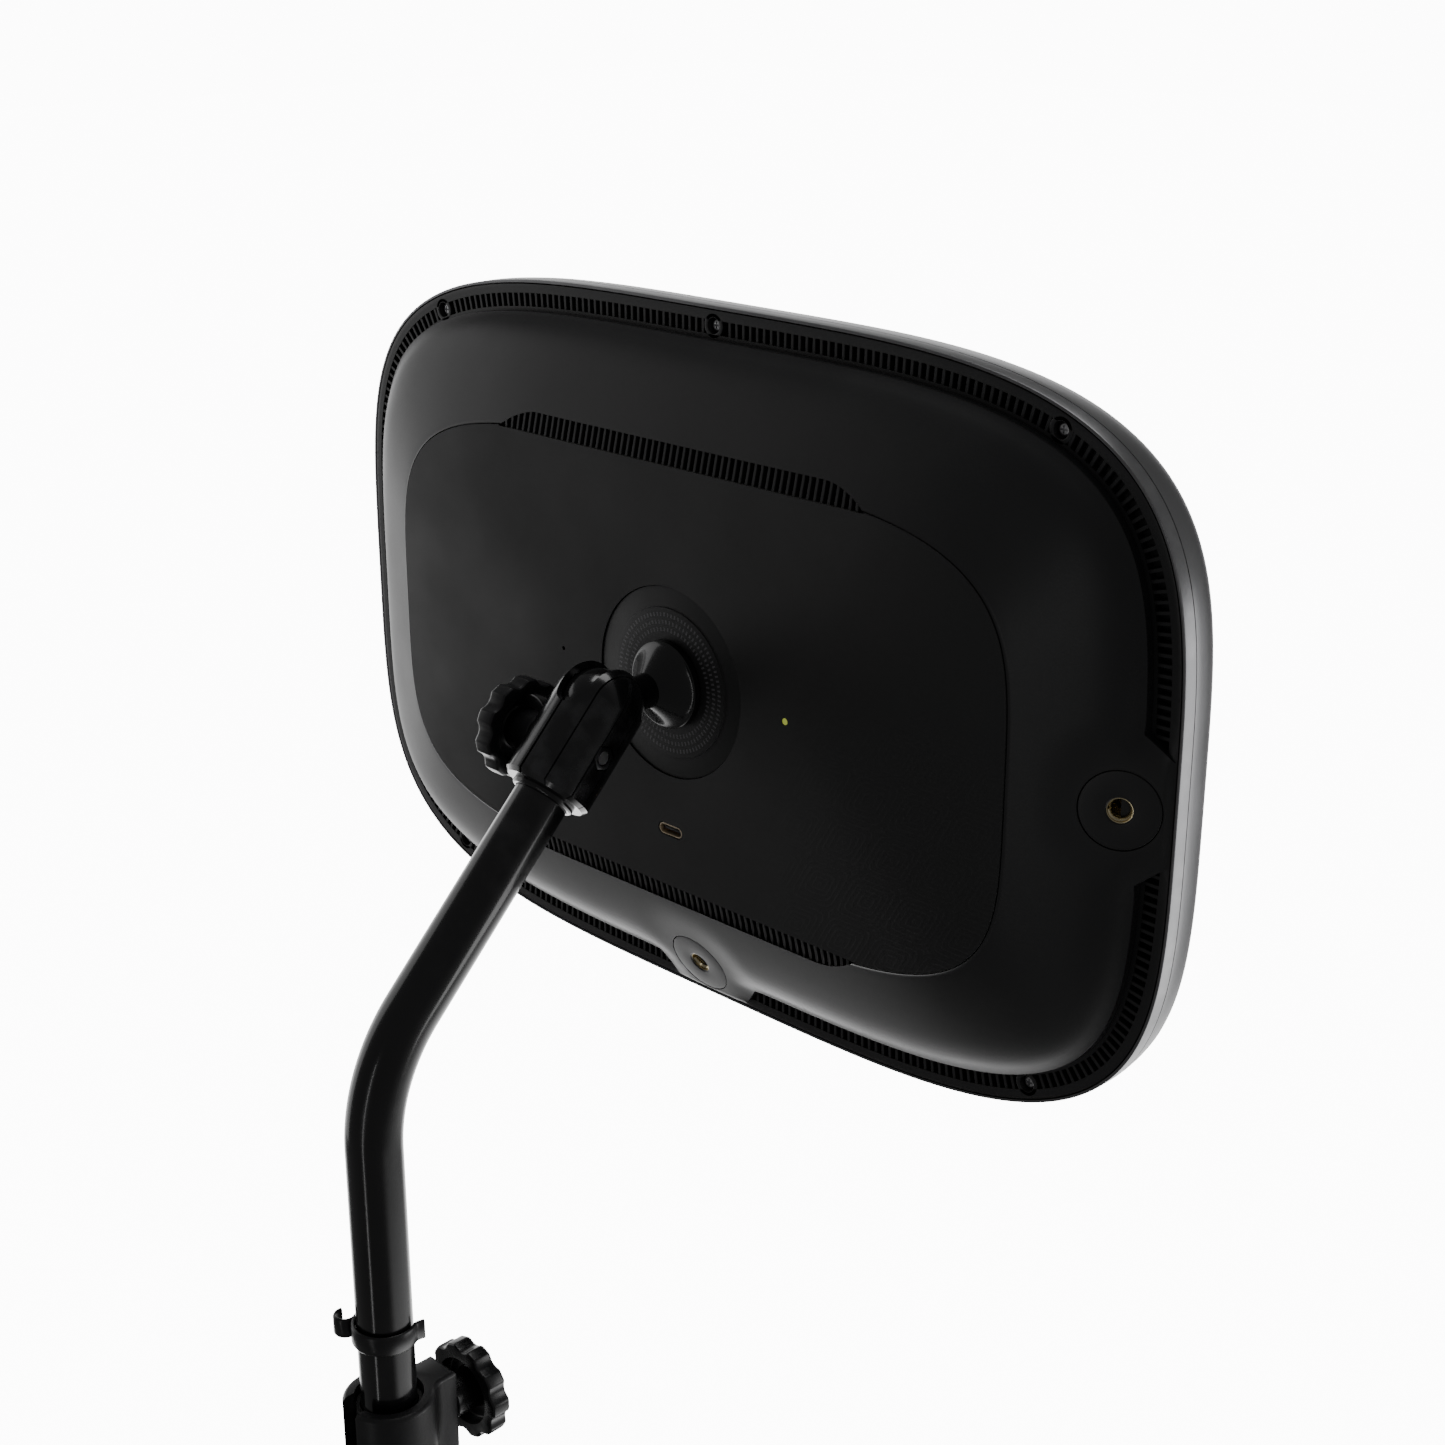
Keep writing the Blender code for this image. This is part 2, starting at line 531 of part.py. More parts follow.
def build_light_stack():
    pan_line = inset(BODY_LINE, FRAME_WALL + FIT)
    pan = loft("back_pan", [(pan_line, PAN_DEPTH), (pan_line, PAN_DEPTH + PAN_THICK)], ALUMINIUM)
    for i, (x, z) in enumerate(case_screw_places()):
        cut(pan, rod("pan_hole_%d" % i, SCREW_SHANK + FIT, panel_point(x, z, PAN_DEPTH - 1 * MM),
                     panel_point(x, z, PAN_DEPTH + PAN_THICK + 1 * MM), collection=CUTTERS, sides=12))
    guide_line = inset(BODY_LINE, GUIDE_INSET)
    depth = PAN_DEPTH + PAN_THICK + FIT
    loft("reflector_sheet", [(guide_line, depth), (guide_line, depth + REFLECTOR_THICK)], WHITE)
    depth += REFLECTOR_THICK + FIT
    loft("light_guide", [(guide_line, depth), (guide_line, depth + GUIDE_THICK)], ACRYLIC)
    reach = PANEL_HEIGHT / 2 - GUIDE_INSET + FIT
    for label, sign in (("upper", 1), ("lower", -1)):
        low = panel_point(-STRIP_LENGTH / 2, sign * reach, depth + GUIDE_THICK)
        high = panel_point(STRIP_LENGTH / 2, sign * (reach + STRIP_THICK), depth)
        corners = [Vector(map(min, low, high)), Vector(map(max, low, high))]
        box(label + "_led_strip", *corners, WHITE)
    front = FRONT_DEPTH - 1.6 * MM - FIT
    diffuser_line = inset(BODY_LINE, FRAME_WALL + 1.4 * MM)
    loft("diffuser", [(diffuser_line, front - DIFFUSER_THICK), (diffuser_line, front)], OPAL)


def build_electronics():
    low = panel_point(-BOARD_WIDTH / 2, BOARD_Z - BOARD_HEIGHT / 2, BOARD_DEPTH + BOARD_THICK)
    high = panel_point(BOARD_WIDTH / 2, BOARD_Z + BOARD_HEIGHT / 2, BOARD_DEPTH)
    board = box("main_board", low, high, BOARD_GREEN)
    for i, (x, z) in enumerate(board_screw_places()):
        cut(board, rod("board_screw_hole_%d" % i, SCREW_SHANK + FIT, panel_point(x, z, BOARD_DEPTH - 1 * MM),
                       panel_point(x, z, BOARD_DEPTH + BOARD_THICK + 1 * MM), collection=CUTTERS, sides=12))
    shell_low = panel_point(-PORT_WIDTH / 2, -PORT_DROP - PORT_HEIGHT / 2, BOARD_DEPTH - FIT)
    shell_high = panel_point(PORT_WIDTH / 2, -PORT_DROP + PORT_HEIGHT / 2, 0.1 * MM)
    port = box("usb_c_port", shell_low, shell_high, STEEL)
    bevel = port.modifiers.new("Round", "BEVEL")
    bevel.width = PORT_HEIGHT / 2 - 0.1 * MM
    bevel.segments = 4
    bevel.limit_method = "WEIGHT"
    weights = port.data.attributes.new("bevel_weight_edge", "FLOAT", "EDGE")
    for edge in port.data.edges:
        a, b = (port.data.vertices[i].co for i in edge.vertices)
        weights.data[edge.index].value = 1.0 if abs(a.y - b.y) > 1 * MM else 0.0
    wall = 0.35 * MM
    cavity = box("port_cavity", shell_low + Vector((wall, 4 * MM, wall)),
                 shell_high + Vector((-wall, 2 * MM, -wall)), collection=CUTTERS)
    cut(port, cavity)
    tongue_low = panel_point(-3.3 * MM, -PORT_DROP - 0.35 * MM, BOARD_DEPTH - FIT - 4.3 * MM)
    tongue_high = panel_point(3.3 * MM, -PORT_DROP + 0.35 * MM, 0.9 * MM)
    box("usb_c_tongue", Vector(map(min, tongue_low, tongue_high)), Vector(map(max, tongue_low, tongue_high)), CHIP)
    rod("status_light_pipe", LIGHT_PIPE_RADIUS, panel_point(-SIGNAL_REACH, 0, BOARD_DEPTH - FIT),
        panel_point(-SIGNAL_REACH, 0, 0.15 * MM), ACRYLIC, sides=16)
    base_top = BOARD_DEPTH - 3.2 * MM
    switch = box("reset_switch", panel_point(SIGNAL_REACH - 3 * MM, -3 * MM, BOARD_DEPTH - FIT),
                 panel_point(SIGNAL_REACH + 3 * MM, 3 * MM, base_top), CHIP)
    cut(switch, rod("switch_bore", 1.5 * MM + FIT, panel_point(SIGNAL_REACH, 0, BOARD_DEPTH - 1 * MM),
                    panel_point(SIGNAL_REACH, 0, base_top - 2 * MM), collection=CUTTERS, sides=16))
    button_back = BOARD_DEPTH - 1 * MM - FIT - BUTTON_TRAVEL
    rod("reset_button", 1.5 * MM, panel_point(SIGNAL_REACH, 0, button_back),
        panel_point(SIGNAL_REACH, 0, base_top - 1.4 * MM), WHITE, sides=16)
    front = BOARD_DEPTH + BOARD_THICK + FIT
    for label, x, z, wide, high, thick, skin in (
            ("wireless_module", -28, -12, 18, 14, 2.4, STEEL), ("light_driver_chip", 4, -20, 9, 9, 1.4, CHIP),
            ("power_inductor", 28, -18, 10, 10, 4.5, CHIP), ("power_chip", 30, -36, 7, 7, 1.4, CHIP),
            ("led_cable_header", -6, -6, 12, 4, 4, WHITE)):
        low = panel_point((x - wide / 2) * MM, (z - high / 2) * MM, front + thick * MM)
        high_corner = panel_point((x + wide / 2) * MM, (z + high / 2) * MM, front)
        box(label, low, high_corner, skin)
    for i, x in enumerate((10, 18)):
        rod("smoothing_capacitor_%d" % (i + 1), 3.1 * MM, panel_point(x * MM, -36 * MM, front),
            panel_point(x * MM, -36 * MM, front + 6 * MM), ALUMINIUM, sides=20)


def screw_piece(name, x, z, head_depth, length, skin):
    """A pan-head screw whose head's rear face lies at head_depth, pointing forward."""
    frame = Matrix.Translation(panel_point(x, z, head_depth)) @ Matrix.Rotation(pi / 2, 4, "X")
    turned(name, [(0, length), (SCREW_SHANK, length), (SCREW_SHANK, SCREW_HEAD_THICK),
                  (SCREW_HEAD, SCREW_HEAD_THICK), (SCREW_HEAD, 0.3 * MM), (SCREW_HEAD - 0.4 * MM, 0), (0, 0)],
           skin, frame=frame, steps=12)


def build_fasteners():
    head_depth = FLOOR_DEPTH + 0.9 * MM - FIT - SCREW_HEAD_THICK
    for i, (x, z) in enumerate(case_screw_places()):
        screw_piece("case_screw_%d" % (i + 1), x, z, head_depth, 8.6 * MM, STEEL)
    for i, (x, z) in enumerate(board_screw_places()):
        frame = Matrix.Translation(panel_point(x, z, BOARD_DEPTH + BOARD_THICK + FIT))
        frame = frame @ Matrix.Rotation(-pi / 2, 4, "X")
        turned("board_screw_%d" % (i + 1), [(0, 5.5 * MM), (SCREW_SHANK, 5.5 * MM), (SCREW_SHANK, 0),
                                            (SCREW_HEAD, 0), (SCREW_HEAD, -SCREW_HEAD_THICK),
                                            (0, -SCREW_HEAD_THICK)], STEEL, frame=frame, steps=12)


def build_ball_stud():
    """Ball, neck and flared base in one piece, with the bolt that holds it from inside."""
    frame = Matrix.Translation(panel_point(0, 0, 0)) @ Matrix.Rotation(-pi / 2, 4, "X")
    foot = FIT
    top = foot + STUD_BASE_THICK
    profile = []
    neck_angle = asin(NECK_RADIUS / BALL_RADIUS)
    turns = 11
    for i in range(turns + 1):
        angle = (pi - neck_angle) * i / turns
        profile.append((BALL_RADIUS * sin(angle), BALL_OUT + BALL_RADIUS * cos(angle)))
    profile.append((NECK_RADIUS, top + 5.2 * MM))
    flare_steps = 4
    for i in range(1, flare_steps + 1):
        share = i / flare_steps
        radius = NECK_RADIUS + (STUD_BASE_RADIUS - 0.3 * MM - NECK_RADIUS) * share
        profile.append((radius, top + 5.2 * MM * (1 - share) ** 1.6))
    bore = STUD_BOLT_RADIUS + FIT
    bore_top = 11 * MM
    profile += [(STUD_BASE_RADIUS, top - 0.3 * MM), (STUD_BASE_RADIUS, foot), (bore, foot), (bore, bore_top), (0, bore_top)]
    turned("ball_stud", profile, GLOSS_BLACK, frame=frame, steps=28)
    under = RECESS_DEPTH + SHELL_WALL + 2 * MM + FIT
    turned("stud_bolt", [(0, bore_top - 1 * MM), (STUD_BOLT_RADIUS, bore_top - 1 * MM), (STUD_BOLT_RADIUS, -under),
                         (4.5 * MM, -under), (4.5 * MM, -under - 2.6 * MM), (0, -under - 2.6 * MM)],
           STEEL, frame=frame, steps=20)


def knob(name, radius, frame, skin, thick=KNOB_THICK, hub=KNOB_HUB_LENGTH, bore=0.0):
    """A lobed knob about Z: rim from 0 to thick, recessed on the hub's side, hub towards -Z."""
    count = KNOB_LOBES * 6
    recess = KNOB_RECESS_RADIUS * radius / KNOB_RADIUS

    def lobed(scale):
        line = []
        for i in range(count):
            angle = 2 * pi * i / count
            wave = max(0.0, cos(KNOB_LOBES * angle)) ** 1.4
            line.append((scale - KNOB_SCALLOP * wave, angle))
        return line

    def circle(scale):
        return [(scale, 2 * pi * i / count) for i in range(count)]

    edge = 0.6 * MM
    rings = [(circle(radius * 0.55), thick), (lobed(radius - edge), thick), (lobed(radius), thick - edge),
             (lobed(radius), edge), (lobed(radius - edge), 0), (circle(recess), 0),
             (circle(recess - 0.4 * MM), KNOB_RECESS_DEEP), (circle(KNOB_HUB_RADIUS + 0.3 * MM), KNOB_RECESS_DEEP),
             (circle(KNOB_HUB_RADIUS), KNOB_RECESS_DEEP - 0.4 * MM), (circle(KNOB_HUB_RADIUS), -hub)]
    bm = bmesh.new()
    rows = [[bm.verts.new((r * cos(a), r * sin(a), z)) for r, a in line] for line, z in rings]
    bm.faces.new(rows[0])
    bm.faces.new(rows[-1])
    for row_a, row_b in zip(rows, rows[1:]):
        for i in range(count):
            j = (i + 1) % count
            bm.faces.new((row_a[i], row_a[j], row_b[j], row_b[i]))
    made = from_bmesh(name, bm, skin)
    made.matrix_world = frame
    if bore:
        cut(made, rod(name + "_bore", bore, (0, 0, -hub - 1 * MM), (0, 0, thick - 1.8 * MM),
                      collection=CUTTERS, frame=frame, sides=20))
    return made


def build_ball_head():
    """Two clamp shells around the ball and the pole's end, drawn together by the knob's bolt."""
    dome_steps = 8
    profile = [(HEAD_RADIUS * sin(pi / 2 * i / dome_steps), HEAD_RADIUS * cos(pi / 2 * i / dome_steps))
               for i in range(dome_steps + 1)]
    profile += [(HEAD_RADIUS, 1.2 * MM - HEAD_LENGTH), (HEAD_RADIUS - 1.2 * MM, -HEAD_LENGTH), (0, -HEAD_LENGTH)]
    pole_top = CLAMP_BOLT_DROP + CLAMP_BOLT_RADIUS + 2 * FIT
    far = HEAD_RADIUS + 6 * MM
    for label, sign in (("knob", 1), ("nut", -1)):
        half = turned("ball_clamp_%s_side" % label, profile, GLOSS_BLACK, frame=HEAD_FRAME, steps=32)
        low, high = sorted((sign * HEAD_SPLIT / 2, -sign * far))
        cut(half, box(label + "_half_cut", (low, -far, -HEAD_LENGTH - far), (high, far, far),
                      collection=CUTTERS, frame=HEAD_FRAME))
        bm = bmesh.new()
        bmesh.ops.create_uvsphere(bm, u_segments=32, v_segments=16, radius=BALL_RADIUS + FIT)
        pocket = from_bmesh(label + "_ball_pocket", bm, None, CUTTERS)
        pocket.matrix_world = HEAD_FRAME
        slot = NECK_RADIUS + 2 * FIT
        slot_shape = [(slot, far), (-slot, far)]
        slot_shape += [(-slot * cos(pi * i / 14), -slot * sin(pi * i / 14)) for i in range(15)]
        cut(half, pocket,
            prism(label + "_neck_slot", slot_shape, -far, far, collection=CUTTERS, frame=HEAD_FRAME),
            rod(label + "_pole_bore", POLE_RADIUS + FIT, (0, 0, -pole_top), (0, 0, -HEAD_LENGTH - 5 * MM),
                collection=CUTTERS, frame=HEAD_FRAME, sides=28),
            rod(label + "_bolt_hole", CLAMP_BOLT_RADIUS + FIT, (-far, 0, -CLAMP_BOLT_DROP),
                (far, 0, -CLAMP_BOLT_DROP), collection=CUTTERS, frame=HEAD_FRAME, sides=16))
        if label == "nut":
            cut(half, rod("nut_pocket", NUT_RADIUS + FIT, (-HEAD_RADIUS + NUT_THICK + FIT, 0, -CLAMP_BOLT_DROP),
                          (-far, 0, -CLAMP_BOLT_DROP), collection=CUTTERS, frame=HEAD_FRAME, sides=6))
    nut = rod("ball_clamp_nut", NUT_RADIUS, (-HEAD_RADIUS + NUT_THICK, 0, -CLAMP_BOLT_DROP),
              (-HEAD_RADIUS, 0, -CLAMP_BOLT_DROP), STEEL, frame=HEAD_FRAME, sides=6)
    cut(nut, rod("nut_bore", CLAMP_BOLT_RADIUS + FIT, (-far, 0, -CLAMP_BOLT_DROP), (0, 0, -CLAMP_BOLT_DROP),
                 collection=CUTTERS, frame=HEAD_FRAME, sides=16))
    hub_start = HEAD_RADIUS + FIT + KNOB_HUB_LENGTH
    knob_frame = HEAD_FRAME @ Matrix.Translation((hub_start, 0, -CLAMP_BOLT_DROP)) @ Matrix.Rotation(pi / 2, 4, "Y")
    knob("ball_knob", KNOB_RADIUS, knob_frame, GLOSS_BLACK, bore=CLAMP_BOLT_RADIUS + FIT)
    rod("ball_clamp_bolt", CLAMP_BOLT_RADIUS, (-HEAD_RADIUS + 0.4 * MM, 0, -CLAMP_BOLT_DROP),
        (hub_start + KNOB_THICK - 1.8 * MM - FIT, 0, -CLAMP_BOLT_DROP), STEEL, frame=HEAD_FRAME, sides=16)


def pole_line(start, end_z):
    """Centre line of the pole: straight from the head, one bend, then straight down."""
    lean = Vector((0, sin(HEAD_ANGLE), -cos(HEAD_ANGLE)))
    bend_start = BALL + lean * POLE_LEAN_LENGTH
    centre = Vector((0, POLE_Y - POLE_BEND_RADIUS, bend_start.z - POLE_BEND_RADIUS * sin(HEAD_ANGLE)))
    steps = 8
    points = [BALL + lean * start]
    for i in range(steps + 1):
        angle = HEAD_ANGLE * (1 - i / steps)
        points.append(centre + Vector((0, cos(angle), sin(angle))) * POLE_BEND_RADIUS)
    points.append(Vector((0, POLE_Y, end_z)))
    return points


def swept(name, points, radius, skin=None, collection=None, resolution=10):
    """A round bar along a line of points, as a mesh with welded caps."""
    curve = bpy.data.curves.new(name + "_line", "CURVE")
    curve.dimensions = "3D"
    curve.bevel_depth = radius
    curve.bevel_resolution = resolution
    curve.use_fill_caps = True
    spline = curve.splines.new("POLY")
    spline.points.add(len(points) - 1)
    for point, place in zip(spline.points, points):
        point.co = (*place, 1)
    guide = bpy.data.objects.new(name + "_line", curve)
    CUTTERS.objects.link(guide)
    mesh = bpy.data.meshes.new_from_object(guide.evaluated_get(bpy.context.evaluated_depsgraph_get()))
    bm = bmesh.new()
    bm.from_mesh(mesh)
    bmesh.ops.remove_doubles(bm, verts=bm.verts, dist=0.00001)
    bpy.data.objects.remove(guide, do_unlink=True)
    return from_bmesh(name, bm, skin, collection)


def build_pole():
    start = CLAMP_BOLT_DROP + CLAMP_BOLT_RADIUS + 3 * FIT
    pole = swept("pole_tube", pole_line(start, POLE_BOTTOM_Z), POLE_RADIUS, GLOSS_BLACK)
    cut(pole, swept("pole_bore", pole_line(start - 5 * MM, POLE_BOTTOM_Z - 5 * MM), POLE_RADIUS - POLE_WALL,
                    collection=CUTTERS))
    plug = POLE_RADIUS - POLE_WALL - FIT
    low = POLE_BOTTOM_Z - FIT
    frame = Matrix.Translation((0, POLE_Y, 0))
    turned("pole_end_cap", [(0, low + 8 * MM), (plug, low + 8 * MM), (plug, low), (POLE_RADIUS, low),
                            (POLE_RADIUS, low - 1.6 * MM), (POLE_RADIUS - 0.6 * MM, low - 2.2 * MM),
                            (0, low - 2.2 * MM)], RUBBER, frame=frame, steps=28)


def build_cable_clip():
    """A spring clip on the pole: open towards the front, with a small cable hook at its side."""
    inner = POLE_RADIUS + FIT
    outer = inner + CLIP_WALL
    frame = Matrix.Translation((0, POLE_Y, CLIP_Z))
    half = CLIP_HEIGHT / 2
    clip = turned("cable_clip", [(inner, half), (outer, half), (outer, -half), (inner, -half)], GLOSS_BLACK,
                  frame=frame, steps=32, ring=True)
    hook_x = outer + 1.6 * MM
    hook = turned("clip_hook", [(2.1 * MM, half), (3.3 * MM, half), (3.3 * MM, -half), (2.1 * MM, -half)],
                  collection=CUTTERS, frame=frame @ Matrix.Translation((hook_x, -3 * MM, 0)), steps=24, ring=True)
    clear = rod("clip_clear", inner, (0, 0, -10 * MM), (0, 0, 10 * MM), collection=CUTTERS, frame=frame)
    join(clip, hook)
    mouth = box("clip_mouth", (-5.6 * MM, -20 * MM, -10 * MM), (5.6 * MM, -3 * MM, 10 * MM),
                collection=CUTTERS, frame=frame)
    hook_mouth = box("clip_hook_mouth", (hook_x - 1.1 * MM, -12 * MM, -10 * MM),
                     (hook_x + 1.1 * MM, -4 * MM, 10 * MM), collection=CUTTERS, frame=frame)
    cut(clip, clear, mouth, hook_mouth)


def build_clamp():
    axis = Matrix.Translation((0, POLE_Y, 0))
    liner_outer = POLE_RADIUS + FIT + LINER_WALL
    spine_y = POLE_Y - SPINE_FRONT
    jaw_low = PAD_THICK + FIT
    jaw_top = jaw_low + JAW_THICK
    lower_top = -THROAT
    lower_low = lower_top - LOWER_JAW_THICK
    half = JAW_WIDTH / 2
    frame = turned("clamp_frame", [(0, BARREL_TOP_Z), (BARREL_RADIUS - 1 * MM, BARREL_TOP_Z),
                                   (BARREL_RADIUS, BARREL_TOP_Z - 1 * MM), (BARREL_RADIUS, BARREL_BOTTOM_Z + 1 * MM),
                                   (BARREL_RADIUS - 1 * MM, BARREL_BOTTOM_Z), (0, BARREL_BOTTOM_Z)],
                   SATIN_BLACK, frame=axis, steps=32)
    inside = POLE_Y - BARREL_RADIUS + 1.5 * MM
    join(frame,
         box("clamp_wing", (-WING_WIDTH / 2, POLE_Y - WING_FRONT, BARREL_BOTTOM_Z + 2 * MM),
             (WING_WIDTH / 2, POLE_Y - liner_outer - 1.2 * MM, BARREL_TOP_Z - 0.5 * MM), collection=CUTTERS),
         box("clamp_spine", (-half, spine_y, lower_low), (half, inside - 0.4 * MM, jaw_top), collection=CUTTERS),
         box("clamp_upper_jaw", (-half, JAW_FRONT_Y, jaw_low), (half, spine_y + 3 * MM, jaw_top), collection=CUTTERS),
         box("clamp_lower_jaw", (-half, JAW_FRONT_Y + 6 * MM, lower_low), (half, spine_y + 3 * MM, lower_top),
             collection=CUTTERS))
    slot_low = (CABLE_SLOT_X - CABLE_SLOT_WIDTH / 2, POLE_Y + 1 * MM, BARREL_BOTTOM_Z - 5 * MM)
    slot_high = (CABLE_SLOT_X + CABLE_SLOT_WIDTH / 2, POLE_Y + BARREL_RADIUS + 5 * MM, BARREL_TOP_Z + 5 * MM)
    cut(frame,
        rod("barrel_bore", liner_outer + FIT, (0, POLE_Y, BARREL_BOTTOM_Z - 5 * MM),
            (0, POLE_Y, BARREL_TOP_Z + 5 * MM), collection=CUTTERS, sides=32),
        box("cable_slot", slot_low, slot_high, collection=CUTTERS),
        rod("lock_hole", LOCK_SCREW_RADIUS + FIT, (0, POLE_Y - WING_FRONT - 5 * MM, LOCK_Z), (0, POLE_Y, LOCK_Z),
            collection=CUTTERS, sides=20),
        rod("screw_hole", SCREW_RADIUS + FIT, (0, 0, lower_low - 5 * MM), (0, 0, lower_top + 5 * MM),
            collection=CUTTERS, sides=28))
    inner = POLE_RADIUS + FIT
    turned("liner_sleeve", [(inner, BARREL_TOP_Z - 2.5 * MM), (liner_outer, BARREL_TOP_Z - 2.5 * MM),
                            (liner_outer, BARREL_BOTTOM_Z + 1 * MM), (inner, BARREL_BOTTOM_Z + 1 * MM)],
           MATTE_BLACK, frame=axis, steps=32, ring=True)
    margin = PAD_MARGIN
    box("upper_jaw_pad", (-half + margin, JAW_FRONT_Y + margin, 0), (half - margin, spine_y - margin, PAD_THICK),
        RUBBER)
    hub_start = POLE_Y - WING_FRONT - FIT - KNOB_HUB_LENGTH
    knob_frame = Matrix.Translation((0, hub_start, LOCK_Z)) @ Matrix.Rotation(pi / 2, 4, "X")
    knob("lock_knob", KNOB_RADIUS, knob_frame, GLOSS_BLACK, bore=LOCK_SCREW_RADIUS + FIT)
    rod("lock_screw", LOCK_SCREW_RADIUS, (0, hub_start - KNOB_THICK + 1.8 * MM + FIT, LOCK_Z),
        (0, POLE_Y - liner_outer - 2 * FIT, LOCK_Z), STEEL, sides=20)


def build_clamp_screw():
    pad_top = -FOOT_GAP
    foot_top = pad_top - PAD_THICK - FIT
    foot_low = foot_top - FOOT_THICK
    hub_low = foot_low - FOOT_HUB_LENGTH
    turned("foot_pad", [(0, pad_top), (FOOT_RADIUS - 1 * MM, pad_top), (FOOT_RADIUS - 1 * MM, pad_top - PAD_THICK),
                        (0, pad_top - PAD_THICK)], RUBBER, steps=36)
    bore = SCREW_RADIUS + FIT
    screw_top = foot_low - FIT
    turned("clamp_foot", [(0, foot_top), (FOOT_RADIUS, foot_top), (FOOT_RADIUS, foot_low), (FOOT_HUB_RADIUS, foot_low),
                          (FOOT_HUB_RADIUS, hub_low), (bore, hub_low), (bore, foot_low), (0, foot_low)],
           SATIN_BLACK, steps=36)
    handle_low = HANDLE_TOP_Z - HANDLE_THICK
    turned("clamp_screw", [(0, screw_top), (SCREW_RADIUS, screw_top), (SCREW_RADIUS, handle_low + 4 * MM),
                           (0, handle_low + 4 * MM)], STEEL, steps=28)
    frame = Matrix.Translation((0, 0, HANDLE_TOP_Z)) @ Matrix.Rotation(pi, 4, "X")
    handle = knob("clamp_handle", HANDLE_RADIUS, frame, GLOSS_BLACK, thick=HANDLE_THICK, hub=2 * MM)
    cut(handle, rod("handle_bore", SCREW_RADIUS + FIT, (0, 0, HANDLE_TOP_Z + 6 * MM),
                    (0, 0, handle_low + 4 * MM - FIT), collection=CUTTERS, sides=28))


build_rear_shell()
build_back_plate()
build_sockets()
for louvre_label, louvre_sign in (("upper", 1), ("lower", -1)):
    louvre_box(louvre_label + "_louvre_grille", louvre_sign, -FIT, LOUVRE_DEEP - FIT, MATTE_BLACK)
build_front_frame()
build_light_stack()
build_electronics()
build_fasteners()
build_ball_stud()
build_ball_head()
build_pole()
build_cable_clip()
build_clamp()
build_clamp_screw()
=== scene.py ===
"""Looks of the smart panel light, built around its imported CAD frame."""
import json
from math import asin, atan2, cos, hypot, pi, radians, sin, sqrt

import bmesh
import bpy
from mathutils import Matrix, Vector


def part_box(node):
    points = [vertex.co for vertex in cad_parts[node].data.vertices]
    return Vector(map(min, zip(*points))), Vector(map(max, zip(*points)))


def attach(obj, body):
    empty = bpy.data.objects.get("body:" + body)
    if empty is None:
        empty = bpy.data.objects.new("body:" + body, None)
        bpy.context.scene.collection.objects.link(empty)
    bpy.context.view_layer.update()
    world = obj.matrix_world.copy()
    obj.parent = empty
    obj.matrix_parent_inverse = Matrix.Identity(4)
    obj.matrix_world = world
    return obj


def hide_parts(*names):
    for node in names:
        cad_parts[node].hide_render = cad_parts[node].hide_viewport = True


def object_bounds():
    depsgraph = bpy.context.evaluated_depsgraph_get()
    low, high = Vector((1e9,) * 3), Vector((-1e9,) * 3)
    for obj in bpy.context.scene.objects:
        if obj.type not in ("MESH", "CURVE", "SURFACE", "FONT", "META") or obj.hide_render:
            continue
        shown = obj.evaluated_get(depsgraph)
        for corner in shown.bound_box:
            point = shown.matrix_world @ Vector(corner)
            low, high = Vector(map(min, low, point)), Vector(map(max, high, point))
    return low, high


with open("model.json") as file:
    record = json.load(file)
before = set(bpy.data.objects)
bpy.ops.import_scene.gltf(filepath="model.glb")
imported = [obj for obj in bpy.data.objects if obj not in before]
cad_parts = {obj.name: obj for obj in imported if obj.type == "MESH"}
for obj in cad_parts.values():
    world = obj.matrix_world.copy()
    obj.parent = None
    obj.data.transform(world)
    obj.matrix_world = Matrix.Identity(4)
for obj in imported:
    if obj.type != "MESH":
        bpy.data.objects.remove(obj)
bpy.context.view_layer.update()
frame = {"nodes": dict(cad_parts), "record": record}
MM = 0.001
AROUND = 360                # points around the panel's outlines
WHITE = 12.0                # brightness of the plain backdrop and floor


def span(node):
    low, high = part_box(node)
    return Vector(low), Vector(high)


def joint_place(name):
    for joint in frame["record"]["behaviour"]["joints"]:
        if joint["name"] == name:
            return Vector(joint["pos_m"])


# ---------------------------------------------------------------- places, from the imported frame
plate_low, plate_high = span("back_plate")
shell_low, shell_high = span("rear_shell")
PLATE_Y = plate_high.y
PANEL_Z = (plate_low.z + plate_high.z) / 2
BALL = joint_place("ball_tilt")
POLE_Y = joint_place("pole_swivel").y
HEAD_ANGLE = radians(45)
HEAD = Matrix.Translation(BALL) @ Matrix.Rotation(HEAD_ANGLE, 4, "X")
ON_POLE = Matrix.Translation((0, POLE_Y, 0))
HALF_W = (shell_high.x - shell_low.x) / 2
HALF_H = (shell_high.z - shell_low.z) / 2
BODY_CURVE = 3.9
PLATE_CURVE = 4.2
RIM = 17.2 * MM
SPLIT = 21.5 * MM
FLOOR = 19.2 * MM
PLATE_EDGE = HALF_H - (plate_high.z - plate_low.z) / 2
DOME_FOOT = 8.8 * MM
SOCKET_INSET = 12 * MM
SOCKET_TILT = radians(24.5)
GAP_RIM = 12 * MM
GAP_DOME = 17.5 * MM
GAP_REACH = 6.7 * MM        # the gap in the vent channel widens over this, towards the dome
SCREW_THREAD_PITCH = 1.27 * MM
HEAD_RADIUS = 12.3 * MM
HEAD_LENGTH = 27 * MM
BOLT_DROP = 12.7 * MM       # from the ball's centre to the clamp bolt
KNOB_RADIUS = 13.9 * MM
KNOB_HUB = 5.3 * MM
POLE_RADIUS = 7.5 * MM
POLE_BORE = 6.0 * MM
NOUGHT = 0.02 * MM          # where a turned shape starts at its axis
